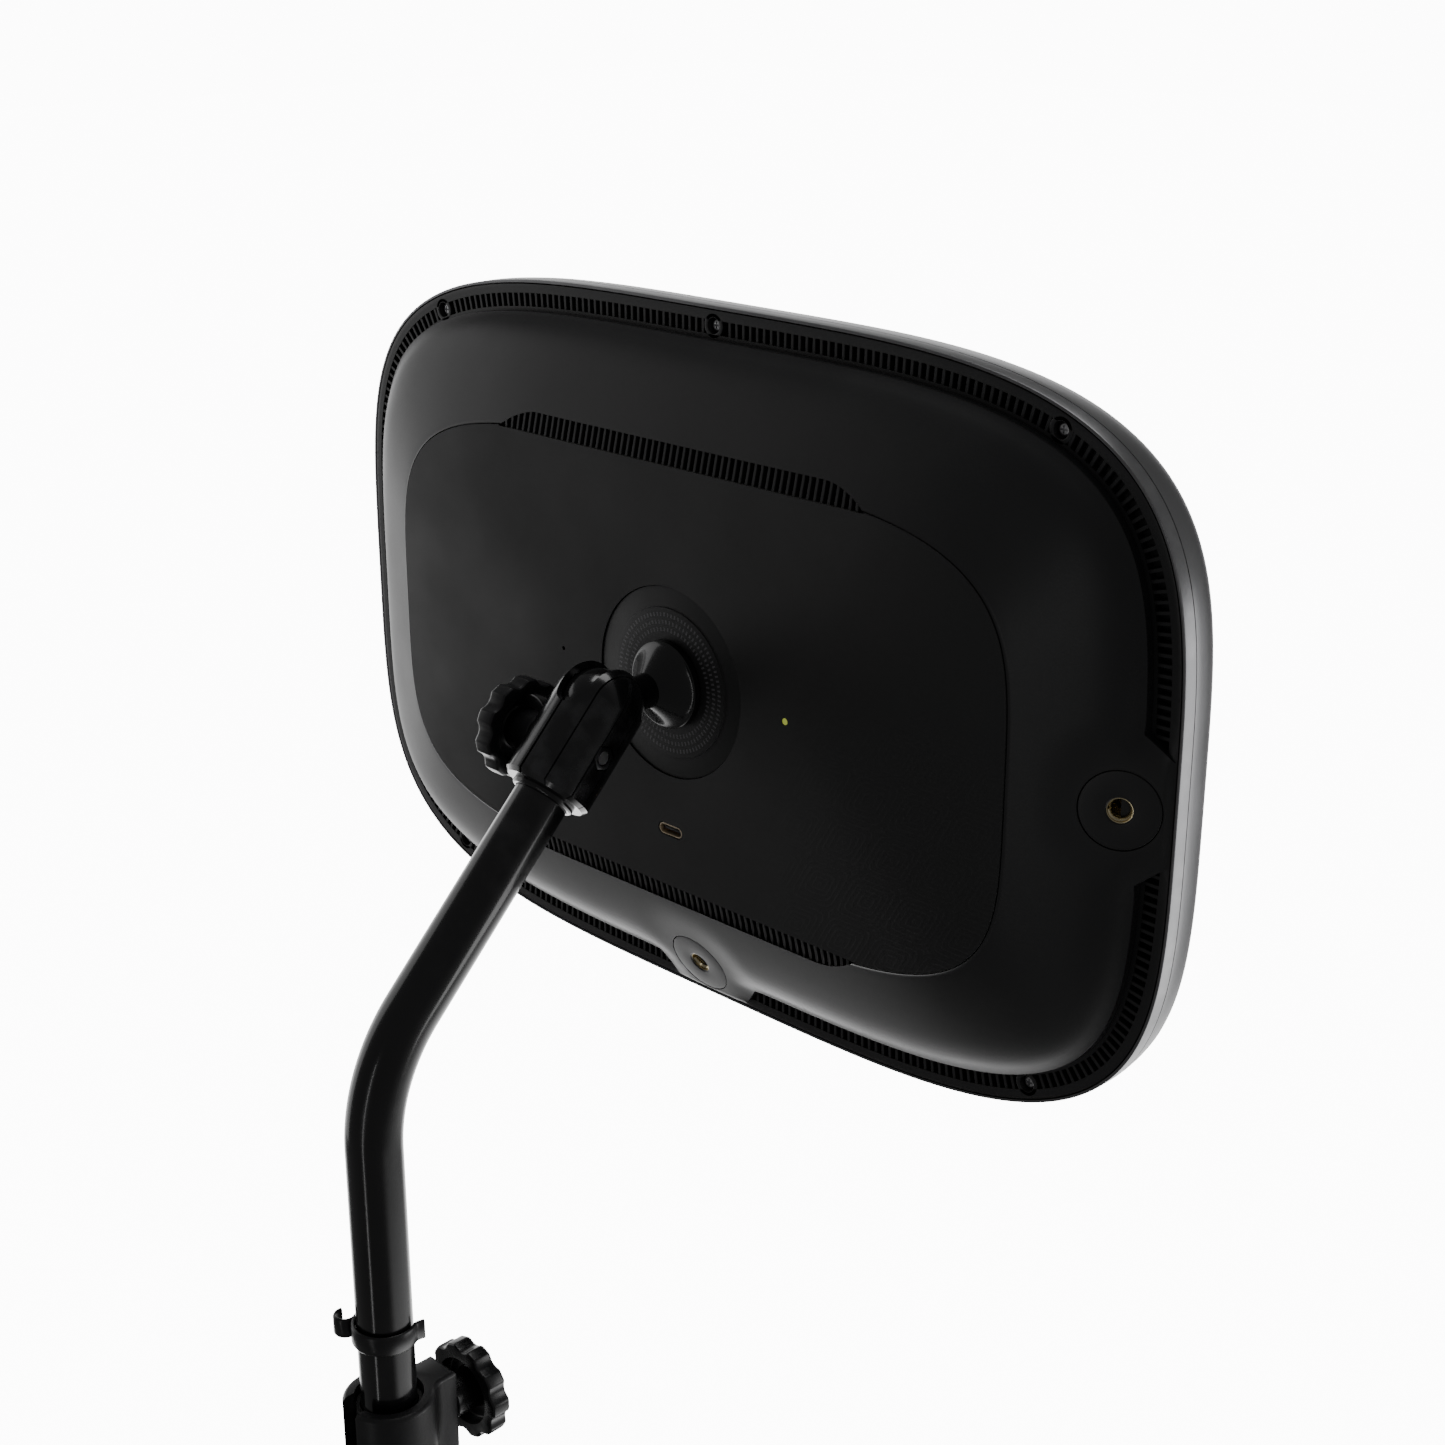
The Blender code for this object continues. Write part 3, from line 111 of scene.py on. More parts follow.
FAR = 20 * MM               # well outside the ball head
SHARP = 28                  # degrees; glossy pieces stay sharp at edges over this
# the dome's section: distance from the body's edge, and depth below the plate, mm
DOME = ((3.7, 17.2), (6.0, 16.3), (8.8, 14.6), (12, 11.4), (16, 8.8), (22, 6.1), (30, 3.0), (38.3, 0.0))


# ---------------------------------------------------------------- materials
class Nodes:
    """A short way to write a material's nodes."""

    def __init__(self, name):
        self.material = bpy.data.materials.new(name)
        self.material.use_nodes = True
        self.tree = self.material.node_tree
        self.shader = self.tree.nodes["Principled BSDF"]
        self.coords = self.tree.nodes.new("ShaderNodeTexCoord").outputs["Object"]

    def node(self, kind, **values):
        made = self.tree.nodes.new("ShaderNode" + kind)
        for key, value in values.items():
            setattr(made, key, value)
        return made

    def link(self, source, target):
        self.tree.links.new(source, target)

    def math(self, operation, a, b=None):
        made = self.node("Math", operation=operation)
        for i, value in enumerate((a, b)):
            if value is None:
                continue
            if isinstance(value, (int, float)):
                made.inputs[i].default_value = value
            else:
                self.link(value, made.inputs[i])
        return made.outputs[0]

    def noise(self, scale, detail=2.0, rough=0.5, stretch=None):
        made = self.node("TexNoise")
        made.inputs["Scale"].default_value = scale
        made.inputs["Detail"].default_value = detail
        made.inputs["Roughness"].default_value = rough
        if stretch:
            mapping = self.node("Mapping")
            mapping.inputs["Scale"].default_value = stretch
            self.link(self.coords, mapping.inputs["Vector"])
            self.link(mapping.outputs[0], made.inputs["Vector"])
        else:
            self.link(self.coords, made.inputs["Vector"])
        return made.outputs["Fac"]

    def span(self, value, low, high, start=0.3, end=0.7):
        made = self.node("MapRange")
        made.clamp = True
        self.link(value, made.inputs["Value"])
        made.inputs["From Min"].default_value = start
        made.inputs["From Max"].default_value = end
        made.inputs["To Min"].default_value = low
        made.inputs["To Max"].default_value = high
        return made.outputs[0]

    def ramp(self, value, low, high):
        made = self.node("Mix", data_type="RGBA")
        self.link(value, made.inputs["Factor"])
        made.inputs["A"].default_value = (*low, 1)
        made.inputs["B"].default_value = (*high, 1)
        return made.outputs["Result"]

    def bump(self, height, strength, distance, after=None):
        made = self.node("Bump")
        made.inputs["Strength"].default_value = strength
        made.inputs["Distance"].default_value = distance
        self.link(height, made.inputs["Height"])
        if after:
            self.link(after, made.inputs["Normal"])
        return made.outputs[0]

    def set(self, **values):
        for key, value in values.items():
            socket = self.shader.inputs[key.replace("_", " ")]
            if isinstance(value, (int, float, tuple)):
                socket.default_value = value
            else:
                self.link(value, socket)


def surface(name, low, high, rough=(0.35, 0.5), metallic=0.0, grain=1800, bump=0.12, height=0.00006,
            blotch=22, stretch=None, wear=None, **extra):
    """A finish with colour drift, roughness drift, fine grain and, where asked, worn edges."""
    n = Nodes(name)
    drift = n.noise(blotch, 3.0, 0.55)
    colour = n.ramp(n.span(drift, 0, 1), low, high)
    if wear:
        pointy = n.node("NewGeometry").outputs["Pointiness"]
        edge = n.span(pointy, 0, 1, 0.53, 0.62)
        edge = n.math("MULTIPLY", edge, n.span(n.noise(160, 3.0), 0, 1, 0.45, 0.7))
        mix = n.node("Mix", data_type="RGBA")
        n.link(edge, mix.inputs["Factor"])
        n.link(colour, mix.inputs["A"])
        mix.inputs["B"].default_value = (*wear, 1)
        colour = mix.outputs["Result"]
    fine = n.noise(grain, 2.0, 0.6, stretch)
    rough_value = n.math("ADD", n.span(drift, rough[0], rough[1]), n.span(fine, -0.02, 0.02))
    n.set(Base_Color=colour, Roughness=rough_value, Metallic=metallic,
          Normal=n.bump(fine, bump, height), **extra)
    return n.material


def plate_material():
    """Matte black with a faint raised pattern of nested lines on its lower right."""
    n = Nodes("plate_black")
    drift = n.noise(30, 3.0)
    fine = n.noise(2600, 2.0)
    split = n.node("SeparateXYZ")
    n.link(n.coords, split.inputs[0])
    cells = n.node("TexVoronoi", distance="MINKOWSKI", voronoi_dimensions="2D")
    cells.inputs["Scale"].default_value = 62
    cells.inputs["Randomness"].default_value = 0.0
    cells.inputs["Exponent"].default_value = 6
    flat = n.node("CombineXYZ")
    skew = n.math("ADD", split.outputs["X"], n.math("MULTIPLY", split.outputs["Z"], 0.577))
    n.link(skew, flat.inputs["X"])
    n.link(n.math("MULTIPLY", split.outputs["Z"], 1.155), flat.inputs["Y"])
    n.link(flat.outputs[0], cells.inputs["Vector"])
    rings = n.math("SINE", n.math("MULTIPLY", cells.outputs["Distance"], 62))
    lines = n.span(rings, 0, 1, 0.35, 0.75)
    across = n.span(split.outputs["X"], 1, 0, -0.085, -0.035)
    down = n.span(split.outputs["Z"], 1, 0, PANEL_Z - 0.045, PANEL_Z + 0.015)
    mask = n.math("MULTIPLY", n.math("MULTIPLY", across, down), lines)
    colour = n.ramp(mask, (0.0105, 0.0105, 0.011), (0.017, 0.017, 0.018))
    n.set(Base_Color=colour, Metallic=0.0,
          Roughness=n.math("SUBTRACT", n.span(drift, 0.5, 0.6), n.math("MULTIPLY", mask, 0.14)),
          Normal=n.bump(mask, 0.25, 0.00012, n.bump(fine, 0.12, 0.00004)))
    return n.material


def dial_material():
    """The mount disc: matte black with three faint rings of graduation ticks."""
    n = Nodes("disc_black")
    split = n.node("SeparateXYZ")
    n.link(n.coords, split.inputs[0])
    x = split.outputs["X"]
    z = n.math("SUBTRACT", split.outputs["Z"], PANEL_Z)
    radius = n.math("SQRT", n.math("ADD", n.math("MULTIPLY", x, x), n.math("MULTIPLY", z, z)))
    angle = n.math("ARCTAN2", z, x)
    ticks = None
    for middle, count in ((0.0192, 90), (0.0171, 80), (0.0150, 70)):
        ring = n.math("LESS_THAN", n.math("ABSOLUTE", n.math("SUBTRACT", radius, middle)), 0.00055)
        wave = n.math("GREATER_THAN", n.math("SINE", n.math("MULTIPLY", angle, count)), 0.35)
        tick = n.math("MULTIPLY", ring, wave)
        ticks = tick if ticks is None else n.math("MAXIMUM", ticks, tick)
    fine = n.noise(2600, 2.0)
    n.set(Base_Color=n.ramp(ticks, (0.0105, 0.0105, 0.011), (0.11, 0.11, 0.115)),
          Roughness=n.span(n.noise(40, 3.0), 0.45, 0.56), Normal=n.bump(fine, 0.12, 0.00004))
    return n.material


def board_material():
    n = Nodes("board_green")
    traces = n.node("TexBrick")
    traces.inputs["Scale"].default_value = 160
    traces.inputs["Mortar Size"].default_value = 0.03
    n.link(n.coords, traces.inputs["Vector"])
    n.set(Base_Color=n.ramp(traces.outputs["Fac"], (0.01, 0.09, 0.04), (0.03, 0.2, 0.09)),
          Roughness=n.span(n.noise(200), 0.3, 0.45), Normal=n.bump(traces.outputs["Fac"], 0.2, 0.00005))
    return n.material


def glow_material():
    n = Nodes("status_glow")
    n.set(Base_Color=n.ramp(n.noise(900), (0.5, 0.55, 0.12), (0.7, 0.72, 0.2)), Roughness=0.25,
          Emission_Color=(0.6, 0.7, 0.1, 1), Emission_Strength=0.35)
    return n.material


LOOK = {
    "shell_plastic": surface("shell_black", (0.016, 0.016, 0.017), (0.022, 0.022, 0.023), (0.36, 0.44),
                             grain=2400),
    "plate_plastic": plate_material(),
    "frame_metal": surface("frame_metal", (0.185, 0.185, 0.19), (0.21, 0.21, 0.215), (0.32, 0.38), 0.9,
                           grain=3200, bump=0.1, height=0.00005, wear=(0.26, 0.26, 0.265)),
    "gloss_paint": surface("gloss_paint", (0.005, 0.005, 0.0055), (0.008, 0.008, 0.0085), (0.17, 0.24),
                           grain=420, bump=0.05, height=0.00005, wear=(0.03, 0.03, 0.032), Coat_Weight=0.3),
    "gloss_plastic": surface("knob_plastic", (0.010, 0.010, 0.011), (0.014, 0.014, 0.015), (0.26, 0.36),
                             grain=1500, bump=0.12, wear=(0.05, 0.05, 0.052)),
    "clamp_paint": surface("clamp_paint", (0.011, 0.011, 0.012), (0.015, 0.015, 0.016), (0.34, 0.44),
                           grain=1300, bump=0.18, wear=(0.06, 0.06, 0.062)),
    "opal_plastic": surface("opal", (0.80, 0.80, 0.78), (0.86, 0.86, 0.84), (0.4, 0.5), grain=2600, bump=0.08,
                            blotch=8, Subsurface_Weight=0.15, Subsurface_Scale=0.004),
    "clear_plastic": surface("clear_plastic", (0.8, 0.84, 0.86), (0.86, 0.89, 0.9), (0.06, 0.1), grain=500,
                             bump=0.02, Transmission_Weight=0.7, IOR=1.49),
    "white_film": surface("white_film", (0.78, 0.78, 0.77), (0.86, 0.86, 0.85), (0.5, 0.6), grain=1600),
    "board": board_material(),
    "chip_plastic": surface("chip_plastic", (0.02, 0.02, 0.021), (0.03, 0.03, 0.032), (0.45, 0.55),
                            grain=3000),
    "steel": surface("steel", (0.42, 0.42, 0.43), (0.56, 0.56, 0.57), (0.22, 0.34), 1.0, grain=900,
                     stretch=(0.15, 1, 1), wear=(0.75, 0.75, 0.76)),
    "aluminium": surface("aluminium", (0.6, 0.6, 0.61), (0.72, 0.72, 0.73), (0.3, 0.42), 1.0, grain=900,
                         stretch=(0.1, 1, 1)),
    "brass": surface("brass", (0.66, 0.57, 0.36), (0.80, 0.71, 0.48), (0.2, 0.32), 1.0, grain=1200),
    "rubber": surface("rubber", (0.014, 0.014, 0.014), (0.024, 0.024, 0.024), (0.7, 0.82),
                      grain=1100, bump=0.3),
}
DIAL = dial_material()
GLOW = glow_material()
BLACK_STEEL = surface("blackened_steel", (0.018, 0.018, 0.019), (0.03, 0.03, 0.032), (0.26, 0.36), 0.7,
                      grain=900, wear=(0.09, 0.09, 0.095))
# Near-black and rough: on the floor under the louvres it is painted shade, standing for the dark inside behind
# the vent slots; on the liner sleeve it is the liner's own black.
VENT_SHADE_AND_LINER_BLACK = surface("vent_painted_shade_and_liner_black", (0.006, 0.006, 0.006), (0.009, 0.009, 0.009), (0.5, 0.6))


# ---------------------------------------------------------------- mesh helpers
def add(name, bm, look, smooth=35):
    bmesh.ops.recalc_face_normals(bm, faces=bm.faces)
    mesh = bpy.data.meshes.new(name)
    bm.to_mesh(mesh)
    bm.free()
    made = bpy.data.objects.new(name, mesh)
    bpy.context.scene.collection.objects.link(made)
    if look:
        mesh.materials.append(look)
    mesh.shade_smooth()
    mesh.set_sharp_from_angle(angle=radians(smooth))
    return made


def piece(made, body, *nodes, slot=None):
    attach(made, body)
    if nodes:
        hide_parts(*nodes)
    return made


def bake(target, smooth=35):
    """Applies the modifiers and the placing, so the piece's vertices are where it is."""
    bpy.context.view_layer.update()
    graph = bpy.context.evaluated_depsgraph_get()
    mesh = bpy.data.meshes.new_from_object(target.evaluated_get(graph))
    mesh.transform(target.matrix_world)
    mesh.validate()
    target.modifiers.clear()
    target.data = mesh
    target.matrix_world = Matrix()
    mesh.shade_smooth()
    mesh.set_sharp_from_angle(angle=radians(smooth))
    return target


def combine(target, tool, operation="DIFFERENCE", smooth=35):
    step = target.modifiers.new("cut", "BOOLEAN")
    step.operation = operation
    step.solver = "EXACT"
    step.object = tool
    bake(target, smooth)
    bpy.data.objects.remove(tool, do_unlink=True)
    return target


def round_edges(target, width, segments=2, angle=35):
    step = target.modifiers.new("edges", "BEVEL")
    step.width = width
    step.segments = segments
    step.limit_method = "ANGLE"
    step.angle_limit = radians(angle)
    step.harden_normals = False
    return bake(target)


def box_into(bm, low, high, place=Matrix()):
    low, high = Vector(low), Vector(high)
    bmesh.ops.create_cube(bm, size=1, matrix=place @ Matrix.Translation((low + high) / 2)
                          @ Matrix.Diagonal((*(high - low), 1)))


def rod_into(bm, radius, start, end, place=Matrix(), sides=48):
    start, end = Vector(start), Vector(end)
    along = end - start
    turn = along.to_track_quat("Z", "Y").to_matrix().to_4x4()
    bmesh.ops.create_cone(bm, cap_ends=True, segments=sides, radius1=radius, radius2=radius, depth=along.length,
                          matrix=place @ Matrix.Translation((start + end) / 2) @ turn)


def prism_into(bm, shape, low, high, place=Matrix()):
    rows = [[bm.verts.new(place @ Vector((x, y, z))) for x, z in shape] for y in (low, high)]
    for row in rows:
        bm.faces.new(row)
    for i in range(len(shape)):
        j = (i + 1) % len(shape)
        bm.faces.new((rows[0][i], rows[0][j], rows[1][j], rows[1][i]))


def skin_into(bm, rows, closed=False):
    """Faces over rows of points; capped at the ends unless closed."""
    rows = [[bm.verts.new(point) for point in row] for row in rows]
    pairs = list(zip(rows, rows[1:]))
    if closed:
        pairs.append((rows[-1], rows[0]))
    else:
        bm.faces.new(rows[0])
        bm.faces.new(rows[-1])
    count = len(rows[0])
    for row_a, row_b in pairs:
        for i in range(count):
            j = (i + 1) % count
            bm.faces.new((row_a[i], row_a[j], row_b[j], row_b[i]))


def turn_into(bm, profile, place=Matrix(), steps=96, closed=False):
    """A turned shape about Z from (radius, height) points; zero radii at the ends are left out."""
    points = [p for p in profile if p[0] > 1e-6]
    skin_into(bm, [[place @ Vector((r * cos(2 * pi * i / steps), r * sin(2 * pi * i / steps), z))
                    for i in range(steps)] for r, z in points], closed)


def soft(profile, radius, parts=4):
    """The profile with its inner corners rounded."""
    result = [profile[0]]
    for before, corner, after in zip(profile, profile[1:], profile[2:]):
        b, c, a = Vector(before), Vector(corner), Vector(after)
        reach = min(radius, (b - c).length * 0.45, (a - c).length * 0.45)
        start = c + (b - c).normalized() * reach
        end = c + (a - c).normalized() * reach
        for i in range(parts + 1):
            t = i / parts
            result.append(tuple(start * (1 - t) ** 2 + c * 2 * t * (1 - t) + end * t ** 2))
    result.append(profile[-1])
    return result


def mm(*points):
    """Points given in mm, in metres."""
    return [(a * MM, b * MM) for a, b in points]


def cut_out(target, into, *shape, smooth=35, **more):
    """Cuts one box, rod or prism out of a piece."""
    bm = bmesh.new()
    into(bm, *shape, **more)
    return combine(target, add("tool", bm, None), smooth=smooth)


def new_turned(name, profile, look, place=Matrix(), steps=96, closed=False, smooth=35):
    bm = bmesh.new()
    turn_into(bm, profile, place, steps, closed)
    return add(name, bm, look, smooth)


# ---------------------------------------------------------------- panel outlines
def outline(half_w, half_h, exponent, count=AROUND):
    points = []
    for i in range(count):
        angle = 2 * pi * i / count
        c, s = cos(angle), sin(angle)
        reach = (abs(c) ** exponent + abs(s) ** exponent) ** (-1 / exponent)
        points.append((half_w * c * reach, half_h * s * reach))
    return points


def inset(points, distance):
    moved = []
    count = len(points)
    for i in range(count):
        x0, z0 = points[i - 1]
        x1, z1 = points[(i + 1) % count]
        length = hypot(x1 - x0, z1 - z0)
        moved.append((points[i][0] - distance * (z1 - z0) / length,
                      points[i][1] + distance * (x1 - x0) / length))
    return moved


BODY_LINE = outline(HALF_W, HALF_H, BODY_CURVE)
PLATE_LINE = outline((plate_high.x - plate_low.x) / 2, (plate_high.z - plate_low.z) / 2, PLATE_CURVE)


def at(x, z, depth):
    return Vector((x, PLATE_Y - depth, PANEL_Z + z))


ON_PLATE = Matrix.Translation(at(0, 0, 0))
TO_REAR = ON_PLATE @ Matrix.Rotation(-pi / 2, 4, "X")       # turned shapes stand out of the plate


def dome_line(distance):
    if distance <= DOME_FOOT:
        return inset(BODY_LINE, distance)
    share = min(1.0, (distance - DOME_FOOT) / (PLATE_EDGE - DOME_FOOT))
    return [(a[0] + share * (b[0] - a[0]), a[1] + share * (b[1] - a[1]))
            for a, b in zip(inset(BODY_LINE, DOME_FOOT), PLATE_LINE)]


def dome_depth(distance):
    """Smooth curve through the dome's section."""
    d = distance / MM
    points = DOME
    if d <= points[0][0]:
        return points[0][1] * MM
    for k in range(len(points) - 1):
        (d0, w0), (d1, w1) = points[k], points[k + 1]
        if d <= d1:
            before = points[max(k - 1, 0)]
            after = points[min(k + 2, len(points) - 1)]
            m0 = (w1 - before[1]) / (d1 - before[0])
            m1 = (after[1] - w0) / (after[0] - d0)
            h = d1 - d0
            t = (d - d0) / h
            return MM * ((2 * t ** 3 - 3 * t ** 2 + 1) * w0 + (t ** 3 - 2 * t ** 2 + t) * h * m0
                         + (3 * t ** 2 - 2 * t ** 3) * w1 + (t ** 3 - t ** 2) * h * m1)
    return 0.0


SOCKETS = {"side": (-(HALF_W - SOCKET_INSET), 0.0), "bottom": (0.0, -(HALF_H - SOCKET_INSET))}
SOCKET_DEPTH = dome_depth(SOCKET_INSET) - 0.15 * MM


def socket_frame(side):
    x, z = SOCKETS[side]
    place = Matrix.Translation(at(x, z, SOCKET_DEPTH))
    if side == "side":
        return place @ Matrix.Rotation(SOCKET_TILT, 4, "Z") @ Matrix.Rotation(-pi / 2, 4, "X")
    return place @ Matrix.Rotation(-pi / 2 - SOCKET_TILT, 4, "X")


def shell_depth(x, z, depth):
    """The dome made flat around each socket, so the discs lie flush in it."""
    for side, (sx, sz) in SOCKETS.items():
        away = hypot(x - sx, z - sz)
        near = 1 - min(1.0, max(0.0, (away - 10.5 * MM) / (13 * MM)))
        near = near * near * (3 - 2 * near)
        lower = (sx - x) if side == "side" else (sz - z)
        flat = SOCKET_DEPTH + lower * sin(SOCKET_TILT) / cos(SOCKET_TILT)
        depth += near * (min(flat, RIM) - depth)
    return depth


def ring_rows(rings):
    return [[at(x, z, depth) for x, z in line] for line, depth in rings]


def loft(name, rings, look, closed=False, smooth=35):
    bm = bmesh.new()
    skin_into(bm, ring_rows(rings), closed)
    return add(name, bm, look, smooth)


def crossing(line, side, value):
    """Where an outline passes a socket's gap: z = value on the side, x = value at the bottom."""
    for (x0, z0), (x1, z1) in zip(line, line[1:] + line[:1]):
        a, b, on_side = (z0, z1, x0 < 0) if side == "side" else (x0, x1, z0 < 0)
        if on_side and (a - value) * (b - value) <= 0 and a != b:
            share = (value - a) / (b - a)
            return x0 + share * (x1 - x0), z0 + share * (z1 - z0)


def channel_into(bm, near, far, floor):
    """A groove around the dome in two lengths, with slanted ends at the two sockets."""
    high = -6 * MM
    corners = [(near, floor), (near, high), (far + 0.3 * MM, high), (far, floor)]
    lines = [(inset(BODY_LINE, d), GAP_RIM + d * (GAP_DOME - GAP_RIM) / GAP_REACH, depth)
             for d, depth in corners]
    quarter = AROUND // 4
    for first, last, start, end in ((2 * quarter, 3 * quarter, ("side", -1), ("bottom", -1)),
                                    (-quarter, 2 * quarter, ("bottom", 1), ("side", 1))):
        sections = [[at(*crossing(line, start[0], start[1] * gap), depth) for line, gap, depth in lines]]
        for i in range(first, last + 1):
            points = [line[i % AROUND] for line, gap, depth in lines]
            clear = all(not (x < -HALF_W * 0.8 and abs(z) < gap + 0.4 * MM)
                        and not (z < -HALF_H * 0.8 and abs(x) < gap + 0.4 * MM)
                        for (x, z), (line, gap, depth) in zip(points, lines))
            if clear:
                sections.append([at(x, z, depth) for (x, z), (line, gap, depth) in zip(points, lines)])
        sections.append([at(*crossing(line, end[0], end[1] * gap), depth) for line, gap, depth in lines])
        skin_into(bm, sections)


def screw_places():
    places = []
    for i in range(1, 6):
        low, high = span("case_screw_%d" % i)
        places.append(((low.x + high.x) / 2, (low.z + high.z) / 2 - PANEL_Z))
    return places


LOUVRE_NEAR = 60.1 * MM
LOUVRE_FAR = 65.8 * MM
LOUVRE_TIP = 68.8 * MM
LOUVRE_FLAT = 54 * MM


def louvre_far(x):
    """The louvre's outer edge: straight, then a curved taper to the tip."""
    if abs(x) <= LOUVRE_FLAT:
        return LOUVRE_FAR
    share = min(1.0, (abs(x) - LOUVRE_FLAT) / (LOUVRE_TIP - LOUVRE_FLAT))
    return LOUVRE_FAR - (LOUVRE_FAR - LOUVRE_NEAR) * share ** 1.8


def louvre_shape(sign):
    shape = [(-LOUVRE_TIP, sign * LOUVRE_NEAR), (LOUVRE_TIP, sign * LOUVRE_NEAR)]
    count = 60
    for i in range(1, count):
        x = LOUVRE_TIP - 2 * LOUVRE_TIP * i / count
        shape.append((x, sign * louvre_far(x)))
    return shape


def louvres_into(bm):
    for sign in (1, -1):
        prism_into(bm, louvre_shape(sign), -3.2 * MM, 4 * MM, ON_PLATE)


def pin_holes_into(bm, light, button, deep):
    """Holes for the status light and the reset button."""
    for name, radius in (("status_light_pipe", light), ("reset_button", button)):
        low, high = span(name)
        middle = (low + high) / 2
        rod_into(bm, radius, (middle.x, PLATE_Y - deep, middle.z), (middle.x, PLATE_Y + 2 * MM, middle.z))


def build_rear_shell():
    lip_in = 1.1 * MM
    lip, wall = inset(BODY_LINE, lip_in), inset(BODY_LINE, 2.2 * MM)
    inside, floor, foot = 3.9 * MM, 20.4 * MM, SPLIT - 0.2 * MM
    rings = [(inset(PLATE_LINE, 2 * MM), inside), (dome_line(PLATE_EDGE), inside)]
    rings += [(dome_line(d * MM), dome_depth(d * MM) + 2.4 * MM) for d in (30, 22, 13)]
    rings += [(dome_line(11 * MM), floor), (wall, floor), (wall, foot), (lip, foot), (lip, RIM + 0.25 * MM),
              (inset(BODY_LINE, lip_in + 0.08 * MM), RIM + 0.08 * MM),
              (inset(BODY_LINE, lip_in + 0.25 * MM), RIM)]
    steps = (2.4, 3.2, 4.2, 5.2, 6.4, 7.6, 8.8, 9.8, 10.8, 12, 13.4, 15, 17, 19, 21, 23.5, 26, 29, 32, 34.6,
             36.6)
    outside = [(dome_line(d * MM), dome_depth(d * MM)) for d in steps]
    outside.append((inset(PLATE_LINE, -0.7 * MM), dome_depth(PLATE_EDGE - 0.7 * MM)))
    rows = ring_rows(rings)
    rows += [[at(x, z, shell_depth(x, z, depth)) for x, z in line] for line, depth in outside]
    rows += ring_rows([(inset(PLATE_LINE, -0.3 * MM), 0.16 * MM), (inset(PLATE_LINE, -0.28 * MM), 1.7 * MM)])
    bm = bmesh.new()
    skin_into(bm, rows)
    shell = add("rear_shell_skin", bm, LOOK["shell_plastic"])
    cut_out(shell, channel_into, -5 * MM, 8.6 * MM, RIM)
    cut_out(shell, channel_into, 3.7 * MM, 7.5 * MM, FLOOR + 0.4 * MM)
    bm = bmesh.new()
    for x, z in screw_places():
        rod_into(bm, 2.2 * MM, at(x, z, -1 * MM), at(x, z, 20.1 * MM))
    for side in SOCKETS:
        rod_into(bm, 10.2 * MM, (0, 0, -2.1 * MM), (0, 0, 9 * MM), socket_frame(side), 96)
    louvres_into(bm)
    rod_into(bm, 20 * MM, at(0, 0, 1 * MM), at(0, 0, 9 * MM), sides=64)
    low, high = span("usb_c_port")
    box_into(bm, low - Vector((0.5, 4, 0.5)) * MM, high + Vector((0.5, 3, 0.5)) * MM)
    pin_holes_into(bm, 1.2 * MM, 0.8 * MM, 12 * MM)
    combine(shell, add("shell_cuts", bm, None))
    piece(shell, "panel", "rear_shell", slot="shell_plastic")

    edge = SPLIT - 0.12 * MM
    rings = ((0, edge), (0, RIM + 0.35 * MM), (0.08, RIM + 0.12 * MM), (0.3, RIM + 0.02 * MM),
             (0.78, RIM + 0.02 * MM), (0.8, edge))
    band = loft("rear_edge_band", [(inset(BODY_LINE, d * MM), depth) for d, depth in rings],
                LOOK["frame_metal"], True)
    piece(band, "panel", slot="frame_metal")


def build_vent_ribs():
    """Ribs across the groove all the way round, and a solid pad at each case screw."""
    bm = bmesh.new()
    line = inset(outline(HALF_W, HALF_H, BODY_CURVE, 2880), 5.6 * MM)
    pitch, half, long = 2.48 * MM, 0.5 * MM, 2.1 * MM
    walked, target = 0.0, 0.0
    screws = screw_places()
    for a, b in zip(line, line[1:] + line[:1]):
        length = hypot(b[0] - a[0], b[1] - a[1])
        while target < walked + length:
            share = (target - walked) / length
            x, z = a[0] + share * (b[0] - a[0]), a[1] + share * (b[1] - a[1])
            target += pitch
            side_gap = x < -HALF_W + 12 * MM and abs(z) < 15.8 * MM
            bottom_gap = z < -HALF_H + 12 * MM and abs(x) < 15.8 * MM
            if side_gap or bottom_gap or any(hypot(x - sx, z - sz) < 3.5 * MM for sx, sz in screws):
                continue
            turn = Matrix.Rotation(-atan2(b[1] - a[1], b[0] - a[0]), 4, "Y")
            box_into(bm, (-half, -FLOOR - 0.6 * MM, -long), (half, -RIM - 0.12 * MM, long),
                     Matrix.Translation(at(x, z, 0)) @ turn)
        walked += length
    ribs = add("vent_ribs", bm, LOOK["shell_plastic"])
    round_edges(ribs, 0.12 * MM, 1)
    bm = bmesh.new()
    well, pad, foot = 2.15 * MM, 3.4 * MM, FLOOR + 1 * MM
    profile = soft([(well, foot), (well, RIM), (pad, RIM), (pad, foot)], 0.2 * MM, 3)
    for x, z in screws:
        turn_into(bm, profile, Matrix.Translation(at(x, z, 0)) @ Matrix.Rotation(pi / 2, 4, "X"), 48, True)
    pads = add("screw_pads", bm, LOOK["shell_plastic"])
    piece(ribs, "panel", slot="shell_plastic")
    piece(pads, "panel", slot="shell_plastic")


